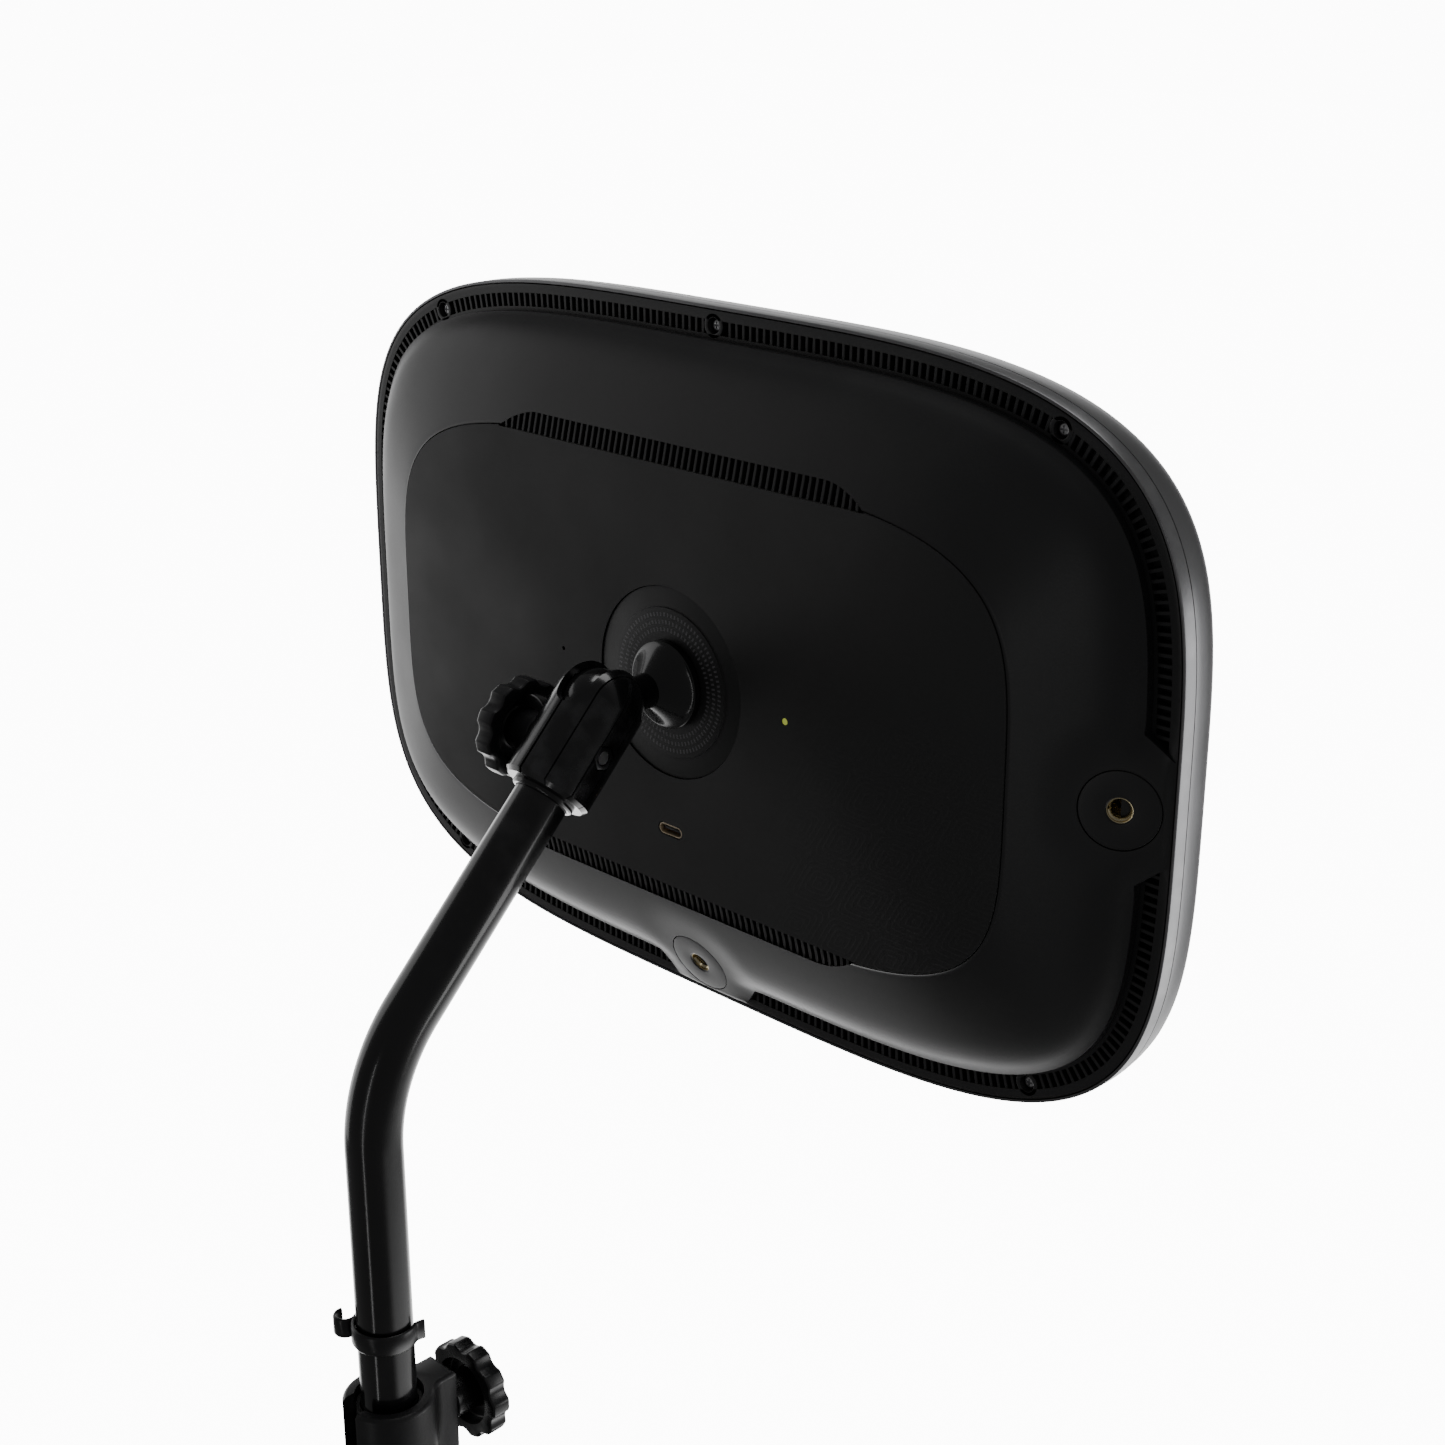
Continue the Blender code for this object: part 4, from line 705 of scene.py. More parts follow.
def build_louvres():
    for name, sign in (("upper", 1), ("lower", -1)):
        bm = bmesh.new()
        pitch = 2.35 * MM
        count = int(LOUVRE_TIP / pitch)
        for i in range(-count, count + 1):
            x = i * pitch
            near, far = LOUVRE_NEAR - 0.2 * MM, louvre_far(x) + 0.15 * MM
            if far - near < 0.9 * MM:
                continue
            top_near = 0.45 * MM
            top_far = dome_depth(HALF_H - far) + 0.35 * MM
            section = [(near, top_near), (far, top_far), (far, 3.6 * MM), (near, 3.6 * MM)]
            rows = [[at(x + dx, sign * z, depth) for z, depth in section] for dx in (-0.5 * MM, 0.5 * MM)]
            skin_into(bm, rows)
        grille = add(name + "_louvre_ribs", bm, LOOK["shell_plastic"])
        round_edges(grille, 0.14 * MM, 1)
        bm = bmesh.new()
        # The louvre floor is a near-black sheet under the ribs: painted shade for the dark inside behind the
        # vent slots.
        prism_into(bm, louvre_shape(sign), -3.6 * MM, -3.15 * MM, ON_PLATE)
        floor = add(name + "_louvre_shade_floor", bm, VENT_SHADE_AND_LINER_BLACK)
        piece(grille, "panel", name + "_louvre_grille", slot="plate_plastic")
        piece(floor, "panel", slot="plate_plastic")


def build_back_plate():
    rings = [(PLATE_LINE, 1.3 * MM), (PLATE_LINE, 0.16 * MM), (inset(PLATE_LINE, 0.05 * MM), 0.05 * MM),
             (inset(PLATE_LINE, 0.16 * MM), 0)]
    plate = loft("back_plate_skin", rings, LOOK["plate_plastic"])
    bm = bmesh.new()
    rod_into(bm, 27.1 * MM, at(0, 0, -1 * MM), at(0, 0, 3 * MM), sides=144)
    louvres_into(bm)
    low, high = span("usb_c_port")
    middle = (low.z + high.z) / 2 - PANEL_Z
    port = stadium((high.x - low.x) / 2 + 0.25 * MM, (high.z - low.z) / 2 + 0.25 * MM)
    prism_into(bm, [(x, middle + z) for x, z in port], -3 * MM, 2 * MM, ON_PLATE)
    pin_holes_into(bm, 1.05 * MM, 0.6 * MM, 3 * MM)
    combine(plate, add("plate_cuts", bm, None))
    piece(plate, "panel", "back_plate", slot="plate_plastic")
    profile = mm((2.8, -1.3), (2.8, 0), (21.1, 0), (21.25, -0.38), (26.9, -0.38), (26.9, -1.3))
    disc = new_turned("mount_disc_skin", soft(profile, 0.1 * MM, 2) + profile[:1], DIAL, TO_REAR, 160)
    piece(disc, "panel", "mount_disc", slot="plate_plastic")


def socket_thread(place, pitch, steps=48, rows_a_turn=6):
    """An internal thread as one helical sheet."""
    top, deep = -0.5 * MM, 6 * MM
    bm = bmesh.new()
    rows = []
    for k in range(int(deep / (pitch / rows_a_turn)) + 1):
        row = []
        for i in range(steps):
            depth = top - k * pitch / rows_a_turn - pitch * i / steps
            ridge = abs((k / rows_a_turn) % 1.0 - 0.5) * 2
            radius = (2.55 + 0.6 * ridge) * MM
            angle = 2 * pi * i / steps
            row.append(bm.verts.new(place @ Vector((radius * cos(angle), radius * sin(angle), depth))))
        rows.append(row)
    for row_a, row_b in zip(rows, rows[1:]):
        for i in range(steps - 1):
            bm.faces.new((row_a[i], row_a[i + 1], row_b[i + 1], row_b[i]))
    for k in range(len(rows) - rows_a_turn - 1):
        bm.faces.new((rows[k][-1], rows[k + rows_a_turn][0], rows[k + rows_a_turn + 1][0], rows[k + 1][-1]))
    bmesh.ops.remove_doubles(bm, verts=bm.verts, dist=0.000001)
    for face in bm.faces:
        face.smooth = True
    return bm


def build_sockets():
    for side in SOCKETS:
        place = socket_frame(side)
        profile = mm((3.25, -1.8), (3.25, -0.25), (3.5, 0), (9.95, 0), (9.95, -1.8))
        disc = new_turned(side + "_socket_face", soft(profile, 0.22 * MM, 4), LOOK["shell_plastic"],
                          place, 120, True)
        piece(disc, "panel", side + "_socket_disc", slot="shell_plastic")
        thread = add(side + "_thread", socket_thread(place, SCREW_THREAD_PITCH), LOOK["brass"], 80)
        solid = thread.modifiers.new("wall", "SOLIDIFY")
        solid.thickness = 0.5 * MM
        solid.offset = -1
        bake(thread, 80)
        profile = mm((3.0, -0.32), (3.2, -0.3), (3.2, -2), (4.2, -2), (4.2, -8.6), (0.1, -8.6), (0.1, -8.2),
                     (3.1, -8.2))
        insert = new_turned(side + "_insert_body", profile, LOOK["brass"], place, 64, True)
        piece(thread, "panel", slot="brass")
        piece(insert, "panel", side + "_thread_insert", slot="brass")


def build_front():
    profile = mm((0, 21.65), (0, 22.1), (0.1, 23.6), (0.45, 26.5), (0.95, 29.0), (1.5, 30.5), (2.2, 31.7),
                 (3.0, 32.5), (4.0, 32.95), (4.6, 33.0), (6.1, 33.0), (6.5, 32.85), (6.65, 32.4), (6.7, 31.4),
                 (3.2, 31.4), (2.4, 29.0), (2.4, 21.65))
    rings = [(inset(BODY_LINE, d), w) for d, w in profile]
    bezel = loft("front_frame_skin", rings, LOOK["frame_metal"], True)
    piece(bezel, "panel", "front_frame", slot="frame_metal")
    edge = inset(BODY_LINE, 3.8 * MM)
    rings = [(edge, 29.1 * MM), (edge, 31.0 * MM), (inset(edge, 0.1 * MM), 31.1 * MM)]
    rings += [(inset(edge, d * MM), (31.1 + 0.75 * (1 - (1 - d / 30) ** 2)) * MM)
              for d in (3, 8, 14, 20, 26, 30)]
    sheet = loft("diffuser_skin", rings, LOOK["opal_plastic"])
    piece(sheet, "panel", "diffuser", slot="opal_plastic")


def cross_recess(screw, place, size, deep):
    """Two crossed slots for a screw head's drive."""
    across = size * 0.24
    for turn in (0, pi / 2):
        cut_out(screw, box_into, (-size, -across, -deep), (size, across, deep),
                place @ Matrix.Rotation(turn, 4, "Z"))


def build_case_screws():
    for i in range(1, 6):
        name = "case_screw_%d" % i
        low, high = span(name)
        x, z = (low.x + high.x) / 2, (low.z + high.z) / 2
        place = Matrix.Translation((x, high.y, z)) @ Matrix.Rotation(-pi / 2, 4, "X")
        length = high.y - low.y
        profile = [(0.05 * MM, 0), (1.3 * MM, -0.05 * MM), (1.9 * MM, -0.5 * MM), (1.9 * MM, -1.5 * MM),
                   (1.1 * MM, -1.5 * MM), (1.1 * MM, -length + 0.4 * MM), (0.05 * MM, -length)]
        screw = new_turned(name + "_skin", soft(profile, 0.2 * MM, 3), LOOK["steel"], place, 40)
        cross_recess(screw, place, 1.0 * MM, 0.7 * MM)
        piece(screw, "panel", name, slot="steel")


def stadium(half, radius, parts=12):
    shape = []
    for side in (1, -1):
        for i in range(parts + 1):
            angle = pi * i / parts - pi / 2 + (0 if side > 0 else pi)
            shape.append((side * (half - radius) + radius * cos(angle), radius * sin(angle)))
    return shape


def build_port():
    low, high = span("usb_c_port")
    middle = (low + high) / 2
    half, tall = (high.x - low.x) / 2, (high.z - low.z) / 2
    front, back, floor = low.y, high.y, low.y + 4 * MM

    def line(smaller):
        return stadium(half - smaller * MM, tall - smaller * MM)

    slit = stadium(0.4 * MM, 0.3 * MM)
    rows = [[Vector((middle.x + x, y, middle.z + z)) for x, z in shape] for shape, y in
            ((line(0), front), (line(0), back - 0.1 * MM), (line(0.1), back), (line(0.28), back),
             (line(0.35), back - 0.12 * MM), (line(0.35), floor), (slit, floor), (slit, front))]
    bm = bmesh.new()
    skin_into(bm, rows, True)
    metal = surface("port_shell", (0.74, 0.62, 0.46), (0.84, 0.72, 0.56), (0.34, 0.44), 1.0)
    piece(add("usb_c_port_shell", bm, metal), "panel", "usb_c_port", slot="steel")
    low, high = span("usb_c_tongue")
    bm = bmesh.new()
    box_into(bm, low, high)
    tongue = add("usb_c_tongue_body", bm, LOOK["chip_plastic"])
    round_edges(tongue, 0.12 * MM, 2)
    bm = bmesh.new()
    wide, thick, back, front = 0.13 * MM, 0.03 * MM, high.y - 3.6 * MM, high.y - 0.4 * MM
    for side in (1, -1):
        for i in range(12):
            x = (i - 5.5) * 0.5 * MM
            z = (low.z + high.z) / 2 + side * ((high.z - low.z) / 2 + 0.01 * MM)
            box_into(bm, (x - wide, back, z - thick), (x + wide, front, z + thick))
    pins = add("usb_c_contacts", bm, LOOK["brass"])
    piece(tongue, "panel", "usb_c_tongue", slot="chip_plastic")
    piece(pins, "panel", slot="brass")


def build_ball_stud():
    out = BALL.y - PLATE_Y
    ball = span("ball_stud")[1].y - BALL.y
    neck, flare, base = 4.75 * MM, 4.87 * MM, 12.3 * MM
    last = pi - asin(neck / ball)
    profile = [(NOUGHT, out + ball)]
    profile += [(ball * sin(last * i / 40), out + ball * cos(last * i / 40)) for i in range(1, 41)]
    profile += [(neck, 9.2 * MM), (flare, 8.4 * MM)]
    for i in range(1, 15):
        share = i / 14
        profile.append((flare + (base - 0.55 * MM - neck) * share, (2.4 + 6.0 * (1 - share) ** 1.15) * MM))
    profile += mm((12.12, 2.32), (12.3, 2.1), (12.3, 0.5), (12.1, 0.3), (2.8, 0.3), (2.8, 11), (0.02, 11))
    stud = new_turned("ball_stud_skin", profile, LOOK["gloss_paint"], TO_REAR, 128, smooth=SHARP)
    piece(stud, "ball", "ball_stud", slot="gloss_paint")


def lobed_rows(place, radius, thick, hub_radius, hub, recess, recess_deep, lobes=10, per=24):
    """A knob's rings of points, from the middle of its face over the scallops to the end of its hub."""
    count = lobes * per
    edge, deep, land = 0.9 * MM, 1.2 * MM, 0.62

    def wavy(scale):
        line = []
        for i in range(count):
            away = abs((i / per) % 1.0 - 0.5) * 2
            cut = 0.0 if away > land else (1 - (away / land) ** 2)
            line.append((scale - deep * cut, 2 * pi * i / count))
        return line

    def circle(scale):
        return [(scale, 2 * pi * i / count) for i in range(count)]

    rings = [(circle(0.3 * MM), thick - 0.5 * MM), (circle(radius * 0.5), thick - 0.5 * MM),
             (circle(radius * 0.53), thick - 0.35 * MM), (circle(radius * 0.56), thick),
             (wavy(radius - edge * 1.6), thick), (wavy(radius - edge), thick - 0.12 * MM),
             (wavy(radius - 0.35 * MM), thick - 0.45 * MM), (wavy(radius - 0.05 * MM), thick - edge),
             (wavy(radius), thick - edge * 1.5), (wavy(radius), edge), (wavy(radius - 0.1 * MM), 0.45 * MM),
             (wavy(radius - 0.45 * MM), 0.1 * MM), (wavy(radius - 0.9 * MM), 0),
             (circle(recess + 0.3 * MM), 0), (circle(recess + 0.06 * MM), 0.08 * MM),
             (circle(recess), 0.3 * MM), (circle(recess - 0.4 * MM), recess_deep - 0.2 * MM),
             (circle(recess - 0.7 * MM), recess_deep), (circle(hub_radius + 0.6 * MM), recess_deep),
             (circle(hub_radius + 0.1 * MM), recess_deep - 0.3 * MM),
             (circle(hub_radius), recess_deep - 0.8 * MM), (circle(hub_radius), -hub + 0.3 * MM),
             (circle(hub_radius - 0.3 * MM), -hub), (circle(0.3 * MM), -hub)]
    return [[place @ Vector((r * cos(a), r * sin(a), z)) for r, a in line] for line, z in rings]


def new_knob(name, place, radius, thick, hub=KNOB_HUB, hub_radius=5.6 * MM, recess=None):
    bm = bmesh.new()
    skin_into(bm, lobed_rows(place, radius, thick, hub_radius, hub, recess or radius * 0.7, 3.6 * MM))
    return add(name, bm, LOOK["gloss_plastic"], SHARP)


def head_body(name, size):
    """A dome on a cylinder: the ball head's outer shape, or one a little smaller."""
    dome = [(size * sin(pi / 2 * i / 24), size * cos(pi / 2 * i / 24)) for i in range(1, 25)]
    profile = [(NOUGHT, size)] + dome
    profile += [(size, 1.1 * MM - HEAD_LENGTH), (size - 1.1 * MM, -HEAD_LENGTH), (NOUGHT, -HEAD_LENGTH)]
    return new_turned(name, profile, None, HEAD, 128, smooth=SHARP)


def head_groove(half, sign, near, wide, y_low, y_high, deep):
    """A shallow groove along one half, as deep as the head's shape is cut down."""
    low, high = sorted((sign * near, sign * wide))
    bm = bmesh.new()
    box_into(bm, (low, y_low, -HEAD_LENGTH - FAR), (high, y_high, FAR), HEAD)
    groove = add("groove", bm, None)
    combine(groove, head_body("core", HEAD_RADIUS - deep))
    combine(half, groove, smooth=SHARP)


def build_ball_head():
    """Two domed clamp shells with a neck slot, lengthwise grooves and a collar for the pole."""
    neck = 5.15 * MM
    slot = [(neck, FAR), (-neck, FAR)]
    slot += [(-neck * cos(pi * i / 28), -neck * sin(pi * i / 28)) for i in range(29)]
    for label, sign in (("knob", 1), ("nut", -1)):
        half = head_body("clamp_half_" + label, HEAD_RADIUS)
        half.data.materials.append(LOOK["gloss_paint"])
        low, high = sorted((sign * 0.35 * MM, -sign * FAR))
        cut_out(half, box_into, (low, -FAR, -HEAD_LENGTH - FAR), (high, FAR, FAR), HEAD, smooth=SHARP)
        head_groove(half, sign, 7.25 * MM, 7.6 * MM, -FAR, FAR, 0.45 * MM)
        for y in (-2.9 * MM, 2.9 * MM):
            head_groove(half, sign, 7.6 * MM, FAR, y - 0.16 * MM, y + 0.16 * MM, 0.35 * MM)
        bm = bmesh.new()
        bmesh.ops.create_uvsphere(bm, u_segments=64, v_segments=32, radius=10.5 * MM, matrix=HEAD)
        combine(half, add("pocket", bm, None), smooth=SHARP)
        cut_out(half, prism_into, slot, -FAR, FAR, HEAD, smooth=SHARP)
        cut_out(half, rod_into, 7.7 * MM, (0, 0, -15.2 * MM), (0, 0, -HEAD_LENGTH - 4 * MM), HEAD, 64,
                smooth=SHARP)
        cut_out(half, rod_into, 2.1 * MM, (-FAR, 0, -BOLT_DROP), (FAR, 0, -BOLT_DROP), HEAD, 32, smooth=SHARP)
        if label == "nut":
            cut_out(half, rod_into, 3.7 * MM, (-HEAD_RADIUS + 3.3 * MM, 0, -BOLT_DROP), (-FAR, 0, -BOLT_DROP),
                    HEAD, 6, smooth=SHARP)
        round_edges(half, 0.22 * MM, 2, 40)
        half.data.set_sharp_from_angle(angle=radians(SHARP))
        piece(half, "pole", "ball_clamp_%s_side" % label, slot="gloss_paint")
    top, low = -HEAD_LENGTH + 0.4 * MM, -HEAD_LENGTH - 1.7 * MM
    collar = [(7.72 * MM, top), (8.9 * MM, top), (8.9 * MM, -HEAD_LENGTH - 1.3 * MM), (8.5 * MM, low),
              (7.72 * MM, low)]
    ring = new_turned("pole_collar", soft(collar, 0.2 * MM, 3), LOOK["gloss_paint"], HEAD, 96, True)
    piece(ring, "pole", slot="gloss_paint")
    bm = bmesh.new()
    rod_into(bm, 3.4 * MM, (-HEAD_RADIUS + 3 * MM, 0, -BOLT_DROP),
             (-HEAD_RADIUS + 0.1 * MM, 0, -BOLT_DROP), HEAD, 6)
    nut = round_edges(add("clamp_nut_body", bm, BLACK_STEEL), 0.25 * MM, 2)
    cut_out(nut, rod_into, 2.0 * MM, (-FAR, 0, -BOLT_DROP), (0, 0, -BOLT_DROP), HEAD, 32)
    piece(nut, "pole", "ball_clamp_nut", slot="steel")
    low, high = span("ball_knob")
    place = HEAD @ Matrix.Translation((low.x + KNOB_HUB, 0, -BOLT_DROP)) @ Matrix.Rotation(pi / 2, 4, "Y")
    knob = new_knob("ball_knob_body", place, KNOB_RADIUS, high.x - low.x - KNOB_HUB)
    piece(knob, "ball_knob_set", "ball_knob", slot="gloss_plastic")


def pole_points(start, end_z):
    lean = Vector((0, sin(HEAD_ANGLE), -cos(HEAD_ANGLE)))
    bend = 49 * MM
    run = (POLE_Y - BALL.y - bend * (1 - cos(HEAD_ANGLE))) / sin(HEAD_ANGLE)
    turn_start = BALL + lean * run
    middle = Vector((0, POLE_Y - bend, turn_start.z - bend * sin(HEAD_ANGLE)))
    points = [BALL + lean * start]
    for i in range(33):
        angle = HEAD_ANGLE * (1 - i / 32)
        points.append(middle + Vector((0, cos(angle), sin(angle))) * bend)
    points.append(Vector((0, POLE_Y, end_z)))
    return points


def tube_rows(points, radius, steps=80):
    rows = []
    for i, point in enumerate(points):
        before = points[max(i - 1, 0)]
        after = points[min(i + 1, len(points) - 1)]
        along = (after - before).normalized()
        up = Vector((0, -along.z, along.y))
        turns = [2 * pi * k / steps for k in range(steps)]
        rows.append([point + radius * (Vector((1, 0, 0)) * cos(turn) + up * sin(turn)) for turn in turns])
    return rows


def build_pole():
    foot = span("pole_tube")[0].z
    points = pole_points(15.5 * MM, foot)
    bm = bmesh.new()
    skin_into(bm, tube_rows(points, POLE_RADIUS) + tube_rows(points, POLE_BORE)[::-1], True)
    pole = add("pole_tube_skin", bm, LOOK["gloss_paint"], 40)
    piece(pole, "pole", "pole_tube", slot="gloss_paint")
    low, high = span("pole_end_cap")
    plug, rim = 5.7 * MM, foot - 0.3 * MM
    profile = [(NOUGHT, high.z), (plug, high.z), (plug, rim), (POLE_RADIUS, rim),
               (POLE_RADIUS, foot - 1.6 * MM), (6.6 * MM, low.z), (NOUGHT, low.z)]
    cap = new_turned("pole_end_cap_skin", soft(profile, 0.5 * MM, 4), LOOK["rubber"], ON_POLE, 80)
    piece(cap, "pole", "pole_end_cap", slot="rubber")


def strip_rows(path, half, thick):
    """A flat strip standing on edge along a plan path of (x, y), with rounded top and bottom edges."""
    rows = []
    for i, (x, y) in enumerate(path):
        x0, y0 = path[max(i - 1, 0)]
        x1, y1 = path[min(i + 1, len(path) - 1)]
        length = hypot(x1 - x0, y1 - y0)
        nx, ny = -(y1 - y0) / length, (x1 - x0) / length
        row = []
        for side, up in ((1, -0.8), (1, 0.8), (0.6, 0.95), (0, 1), (-0.6, 0.95), (-1, 0.8), (-1, -0.8),
                         (-0.6, -0.95), (0, -1), (0.6, -0.95)):
            row.append(Vector((x + nx * side * thick / 2, y + ny * side * thick / 2, half * up)))
        rows.append(row)
    return rows


def build_cable_clip():
    """A spring strip around the pole, with a lip at one end and a cable hook at the other."""
    low, high = span("cable_clip")
    middle = (low.z + high.z) / 2
    half = (high.z - low.z) / 2
    radius = 8.35 * MM
    path = []
    lip = radians(-32)
    for i in range(7):
        share = i / 6
        reach = radius + 2.0 * MM * (1 - share) ** 2
        angle = lip - radians(13) * (1 - share)
        path.append((-reach * cos(angle), reach * sin(angle)))
    for i in range(1, 41):
        angle = lip + (radians(218) - lip) * i / 40
        path.append((-radius * cos(angle), radius * sin(angle)))
    hook = 2.75 * MM
    end_angle = radians(158)
    end = (-radius * cos(end_angle), radius * sin(end_angle))
    start = path.index(min(path, key=lambda p: hypot(p[0] - end[0], p[1] - end[1])))
    wrap = path[:start]
    last = wrap[-1]
    outward = Vector((last[0], last[1])).normalized()
    centre = Vector(last) + Vector((outward.x, outward.y)) * hook
    begin = atan2(last[1] - centre.y, last[0] - centre.x)
    curl = []
    for i in range(1, 23):
        angle = begin - radians(225) * i / 22
        curl.append((centre.x + hook * cos(angle), centre.y + hook * sin(angle)))
    stub = path[start:]
    place = Matrix.Translation((0, POLE_Y, middle))
    bm = bmesh.new()
    for line in (wrap, [last] + curl, [last] + stub):
        rows = strip_rows(line, half, 1.15 * MM)
        skin_into(bm, [[place @ p for p in row] for row in rows])
    clip = add("cable_clip_strip", bm, LOOK["gloss_plastic"], 40)
    piece(clip, "clip", "cable_clip", slot="gloss_plastic")


def barrel_outline(radius, wing_half, wing_front, fillet):
    """Plan of the barrel with its wing: a circle, two concave fillets and a flat front."""
    reach = sqrt((radius + fillet) ** 2 - (wing_half + fillet) ** 2)
    centre = (wing_half + fillet, -reach)
    start = atan2(centre[1], centre[0])
    points = []
    count = 72
    for i in range(count + 1):
        angle = start + (2 * pi + 2 * (-pi / 2 - start)) * i / count
        points.append((radius * cos(angle), radius * sin(angle)))
    from_angle = atan2(-centre[1], centre[0])
    left = []
    for i in range(1, 11):
        angle = from_angle + (0 - from_angle) * i / 10
        left.append((-centre[0] + fillet * cos(angle), centre[1] + fillet * sin(angle)))
    edge = 0.8 * MM
    points += left + [(-wing_half, -wing_front + edge), (-wing_half + edge * 0.3, -wing_front + edge * 0.3),
                      (-wing_half + edge, -wing_front), (wing_half - edge, -wing_front),
                      (wing_half - edge * 0.3, -wing_front + edge * 0.3), (wing_half, -wing_front + edge)]
    points += [(-x, y) for x, y in reversed(left)]
    return points


def build_clamp():
    frame_low, frame_high = span("clamp_frame")
    lock = joint_place("lock_knob_turn")
    plan = barrel_outline(12.4 * MM, 5.7 * MM, POLE_Y - lock.y, 6 * MM)
    top, bottom = frame_high.z, -22 * MM
    rings = ((1.1, top), (0.85, top - 0.08 * MM), (0.1, top - 0.85 * MM), (0, top - 1.1 * MM),
             (0, bottom + 1 * MM), (0.9, bottom))
    bm = bmesh.new()
    skin_into(bm, [[Vector((x, POLE_Y + y, z)) for x, y in inset(plan, d * MM)] for d, z in rings])
    body = add("clamp_frame_skin", bm, LOOK["clamp_paint"], 32)
    half = frame_high.x
    spine = POLE_Y - 24 * MM
    jaw_low, jaw_high = 2.3 * MM, 10.3 * MM
    arm_low, arm_high = frame_low.z, -66 * MM
    for low, high in (((-half, spine, arm_low), (half, POLE_Y - 10.5 * MM, jaw_high)),
                      ((-half, frame_low.y, jaw_low), (half, spine + 5 * MM, jaw_high)),
                      ((-half, frame_low.y + 6 * MM, arm_low), (half, spine + 5 * MM, arm_high))):
        bm = bmesh.new()
        box_into(bm, low, high)
        combine(body, round_edges(add("block", bm, None), 1.6 * MM, 4), "UNION", 32)
    above = top + 2 * MM
    cut_out(body, rod_into, 9.3 * MM, (0, POLE_Y, -90 * MM), (0, POLE_Y, above), sides=96, smooth=32)
    cut_out(body, box_into, (-1.5 * MM, POLE_Y + 1 * MM, -60 * MM), (6.5 * MM, POLE_Y + 18 * MM, above),
            smooth=32)
    bm = bmesh.new()
    rod_into(bm, 2.8 * MM, (0, POLE_Y - 40 * MM, lock.z), (0, POLE_Y, lock.z), sides=48)
    rod_into(bm, 5.0 * MM, (0, 0, arm_low - 5 * MM), (0, 0, arm_high + 5 * MM), sides=64)
    for z in (-20 * MM, -46 * MM):
        box_into(bm, (-9 * MM, spine - 1 * MM, z - 10 * MM), (9 * MM, spine + 1.2 * MM, z + 10 * MM))
    combine(body, add("bores", bm, None), smooth=32)
    piece(body, "desk_clamp", "clamp_frame", slot="clamp_paint")

    low, high = span("liner_sleeve")
    bore, wall = 7.8 * MM, 9.0 * MM
    profile = soft([(bore, high.z), (wall, high.z), (wall, low.z), (bore, low.z)], 0.2 * MM, 3)
    liner = new_turned("liner_sleeve_skin", profile, VENT_SHADE_AND_LINER_BLACK, ON_POLE, 96, True)
    piece(liner, "sleeve", "liner_sleeve", slot="plate_plastic")

    low, high = span("upper_jaw_pad")
    bm = bmesh.new()
    box_into(bm, low, high)
    pad = round_edges(add("upper_jaw_pad_skin", bm, LOOK["rubber"]), 0.4 * MM, 3)
    bm = bmesh.new()
    for i in range(-4, 5):
        y = (low.y + high.y) / 2 + i * 4 * MM
        box_into(bm, (-9.5 * MM, y - 0.6 * MM, -1 * MM), (9.5 * MM, y + 0.6 * MM, 0.6 * MM))
    combine(pad, add("pad_ribs", bm, None))
    piece(pad, "desk_clamp", "upper_jaw_pad", slot="rubber")

    low, high = span("lock_knob")
    place = Matrix.Translation((0, high.y - KNOB_HUB, lock.z)) @ Matrix.Rotation(pi / 2, 4, "X")
    knob = new_knob("lock_knob_body", place, KNOB_RADIUS, high.y - low.y - KNOB_HUB)
    piece(knob, "lock_knob_set", "lock_knob", slot="gloss_plastic")


def thread_rows(radius, deep, pitch, top, bottom, steps=48, per=8):
    """Rows of points down a threaded rod, plain near its ends."""
    rows = []
    for k in range(int((top - bottom) / (pitch / per)) + 1):
        z = top - k * pitch / per
        plain = z > top - pitch * 0.6 or z < bottom + pitch * 0.6
        row = []
        for i in range(steps):
            phase = (z / pitch - i / steps) % 1.0
            r = radius - deep * (1 if plain else 1 - abs(phase - 0.5) * 2)
            angle = 2 * pi * i / steps
            row.append(Vector((r * cos(angle), r * sin(angle), z)))
        rows.append(row)
    return rows


def build_clamp_screw():
    low, high = span("clamp_screw")
    bm = bmesh.new()
    skin_into(bm, thread_rows(4.7 * MM, 0.75 * MM, 2.0 * MM, high.z, low.z))
    screw = add("clamp_screw_thread", bm, LOOK["steel"], 40)
    piece(screw, "screw_set", "clamp_screw", slot="steel")
    low, high = span("clamp_handle")
    hub = 2 * MM
    place = Matrix.Translation((0, 0, high.z - hub)) @ Matrix.Rotation(pi, 4, "X")
    handle = new_knob("clamp_handle_body", place, 18 * MM, high.z - low.z - hub, hub, 7.6 * MM, 12.4 * MM)
    piece(handle, "screw_set", "clamp_handle", slot="gloss_plastic")
    low, high = span("clamp_foot")
    cup = high.z - 5 * MM
    profile = [(NOUGHT, high.z), (14 * MM, high.z), (14 * MM, cup), (7.5 * MM, high.z - 6 * MM),
               (7.5 * MM, low.z), (5 * MM, low.z), (5 * MM, cup), (NOUGHT, cup)]
    foot = new_turned("clamp_foot_skin", soft(profile, 0.8 * MM, 5), LOOK["clamp_paint"])
    piece(foot, "foot", "clamp_foot", slot="clamp_paint")
    low, high = span("foot_pad")
    groove = high.z - 0.5 * MM
    profile = [(NOUGHT, groove), (3 * MM, groove), (3.4 * MM, high.z), (7 * MM, high.z), (7.4 * MM, groove),
               (8.4 * MM, groove), (8.8 * MM, high.z), (13 * MM, high.z), (13 * MM, low.z), (NOUGHT, low.z)]
    pad = new_turned("foot_pad_skin", soft(profile, 0.3 * MM, 3), LOOK["rubber"])
    piece(pad, "foot", "foot_pad", slot="rubber")


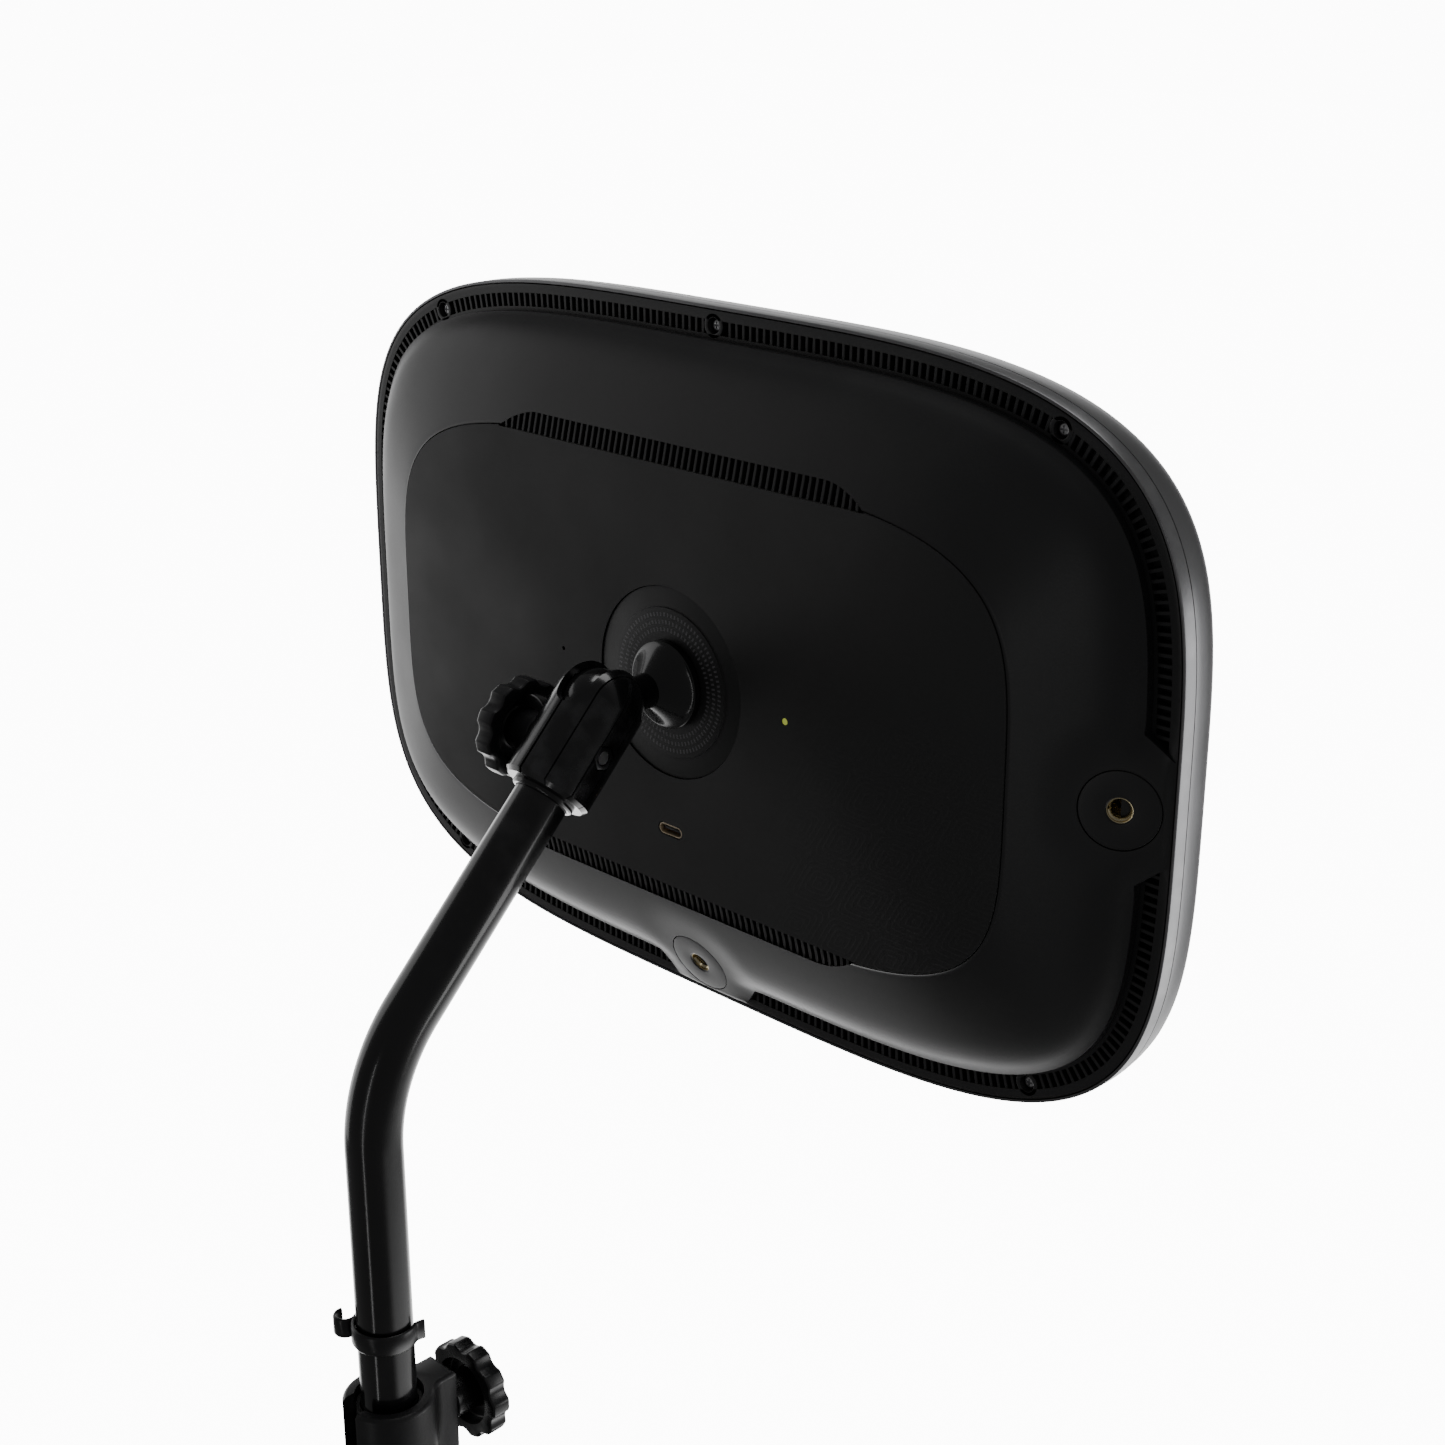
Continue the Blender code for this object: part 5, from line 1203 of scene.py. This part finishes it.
def dress_frame_nodes():
    """The CAD nodes that stay in view, and the inner ones, take their slot's finish."""
    slots = {entry["node"]: entry["material_slot"] for entry in frame["record"]["subparts"]}
    for name, node in frame["nodes"].items():
        look = GLOW if name == "status_light_pipe" else LOOK[slots[name]]
        node.data.materials.clear()
        node.data.materials.append(look)


# ---------------------------------------------------------------- stage
def area_light(name, offset, size, size_y, power, aim=(0, 0, 0)):
    """A rectangle of light; its place and its aim are measured from the middle of the plate."""
    data = bpy.data.lights.new(name, "AREA")
    data.shape = "RECTANGLE"
    data.size = size
    data.size_y = size_y
    data.energy = power
    made = bpy.data.objects.new(name, data)
    made.visible_camera = False
    made.location = at(0, 0, 0) + Vector(offset)
    made.rotation_euler = (Vector(aim) - Vector(offset)).to_track_quat("-Z", "Y").to_euler()
    bpy.context.scene.collection.objects.link(made)


def build_stage():
    floor_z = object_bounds()[0][2] - 0.035          # the clamp screw goes 20 mm lower with the jaw wide open
    bm = bmesh.new()
    bmesh.ops.create_grid(bm, x_segments=2, y_segments=2, size=6.0,
                          matrix=Matrix.Translation((0, 0, floor_z)))
    n = Nodes("floor_white")
    n.set(Base_Color=n.ramp(n.noise(3), (0.93, 0.93, 0.93), (0.96, 0.96, 0.96)), Roughness=0.9,
          Emission_Color=(1, 1, 1, 1), Emission_Strength=WHITE)
    floor = add("floor", bm, n.material)
    floor.visible_glossy = False
    floor.visible_diffuse = False
    build_world()
    area_light("soft_left", (0.95, 0.35, 0.0), 0.6, 1.1, 1.9)
    area_light("strip_rear", (-0.16, 1.05, -0.35), 0.05, 1.3, 0.7)
    area_light("rim_soft", (-0.40, -0.25, -0.12), 0.25, 0.35, 0.8, (-0.152, -0.025, 0.0))
    area_light("top_soft", (0.1, -0.3, 1.1), 0.8, 0.5, 4.0)


def build_world():
    """A white patch ahead and to the left, a white floor below and a dim surround; the backdrop is white."""
    world = bpy.data.worlds.new("studio")
    world.use_nodes = True
    tree = world.node_tree
    links = tree.links

    def node(kind, **values):
        made = tree.nodes.new("ShaderNode" + kind)
        for key, value in values.items():
            setattr(made, key, value)
        return made

    def ranged(source, start, end, low=0.0, high=1.0):
        made = node("MapRange")
        made.interpolation_type = "SMOOTHSTEP"
        links.new(source, made.inputs["Value"])
        for key, value in (("From Min", start), ("From Max", end), ("To Min", low), ("To Max", high)):
            made.inputs[key].default_value = value
        return made.outputs[0]

    def math(operation, a, b):
        made = node("Math", operation=operation)
        for slot, value in enumerate((a, b)):
            if isinstance(value, float):
                made.inputs[slot].default_value = value
            else:
                links.new(value, made.inputs[slot])
        return made.outputs[0]

    direction = node("TexCoord").outputs["Generated"]
    split = node("SeparateXYZ")
    links.new(direction, split.inputs[0])
    x, y, z = split.outputs
    toward = node("VectorMath", operation="DOT_PRODUCT")
    links.new(direction, toward.inputs[0])
    toward.inputs[1].default_value = Vector((0.74, -0.6, -0.25)).normalized()
    patch = math("MULTIPLY", ranged(toward.outputs["Value"], 0.62, 0.93, 0.0, 2.1), ranged(z, 0.5, 0.1))
    below = math("MULTIPLY", ranged(z, -0.45, -0.8, 0.0, 2.6), ranged(y, 0.2, -0.2))
    side = math("MULTIPLY", ranged(x, 0.0, -0.5, 0.0, 0.15), ranged(y, 0.1, -0.5))
    strength = math("ADD", math("ADD", patch, below), math("ADD", side, 0.12))
    mix = node("Mix", data_type="FLOAT")
    links.new(node("LightPath").outputs["Is Camera Ray"], mix.inputs["Factor"])
    links.new(strength, mix.inputs["A"])
    mix.inputs["B"].default_value = WHITE
    background = tree.nodes["Background"]
    background.inputs["Color"].default_value = (1, 1, 1, 1)
    links.new(mix.outputs["Result"], background.inputs["Strength"])
    bpy.context.scene.world = world


def build_camera():
    data = bpy.data.cameras.new("camera")
    data.sensor_width = 36
    data.lens = 56.284567
    data.clip_start = 0.01
    made = bpy.data.objects.new("camera", data)
    made.location = at(-417.7 * MM, 201.5 * MM, -399.9 * MM)
    made.rotation_euler = Vector((0.66136, -0.66575, -0.34551)).to_track_quat("-Z", "Y").to_euler()
    bpy.context.scene.collection.objects.link(made)
    bpy.context.scene.camera = made


dress_frame_nodes()
build_rear_shell()
build_vent_ribs()
build_louvres()
build_back_plate()
build_sockets()
build_front()
build_case_screws()
build_port()
build_ball_stud()
build_ball_head()
build_pole()
build_cable_clip()
build_clamp()
build_clamp_screw()
build_stage()
build_camera()
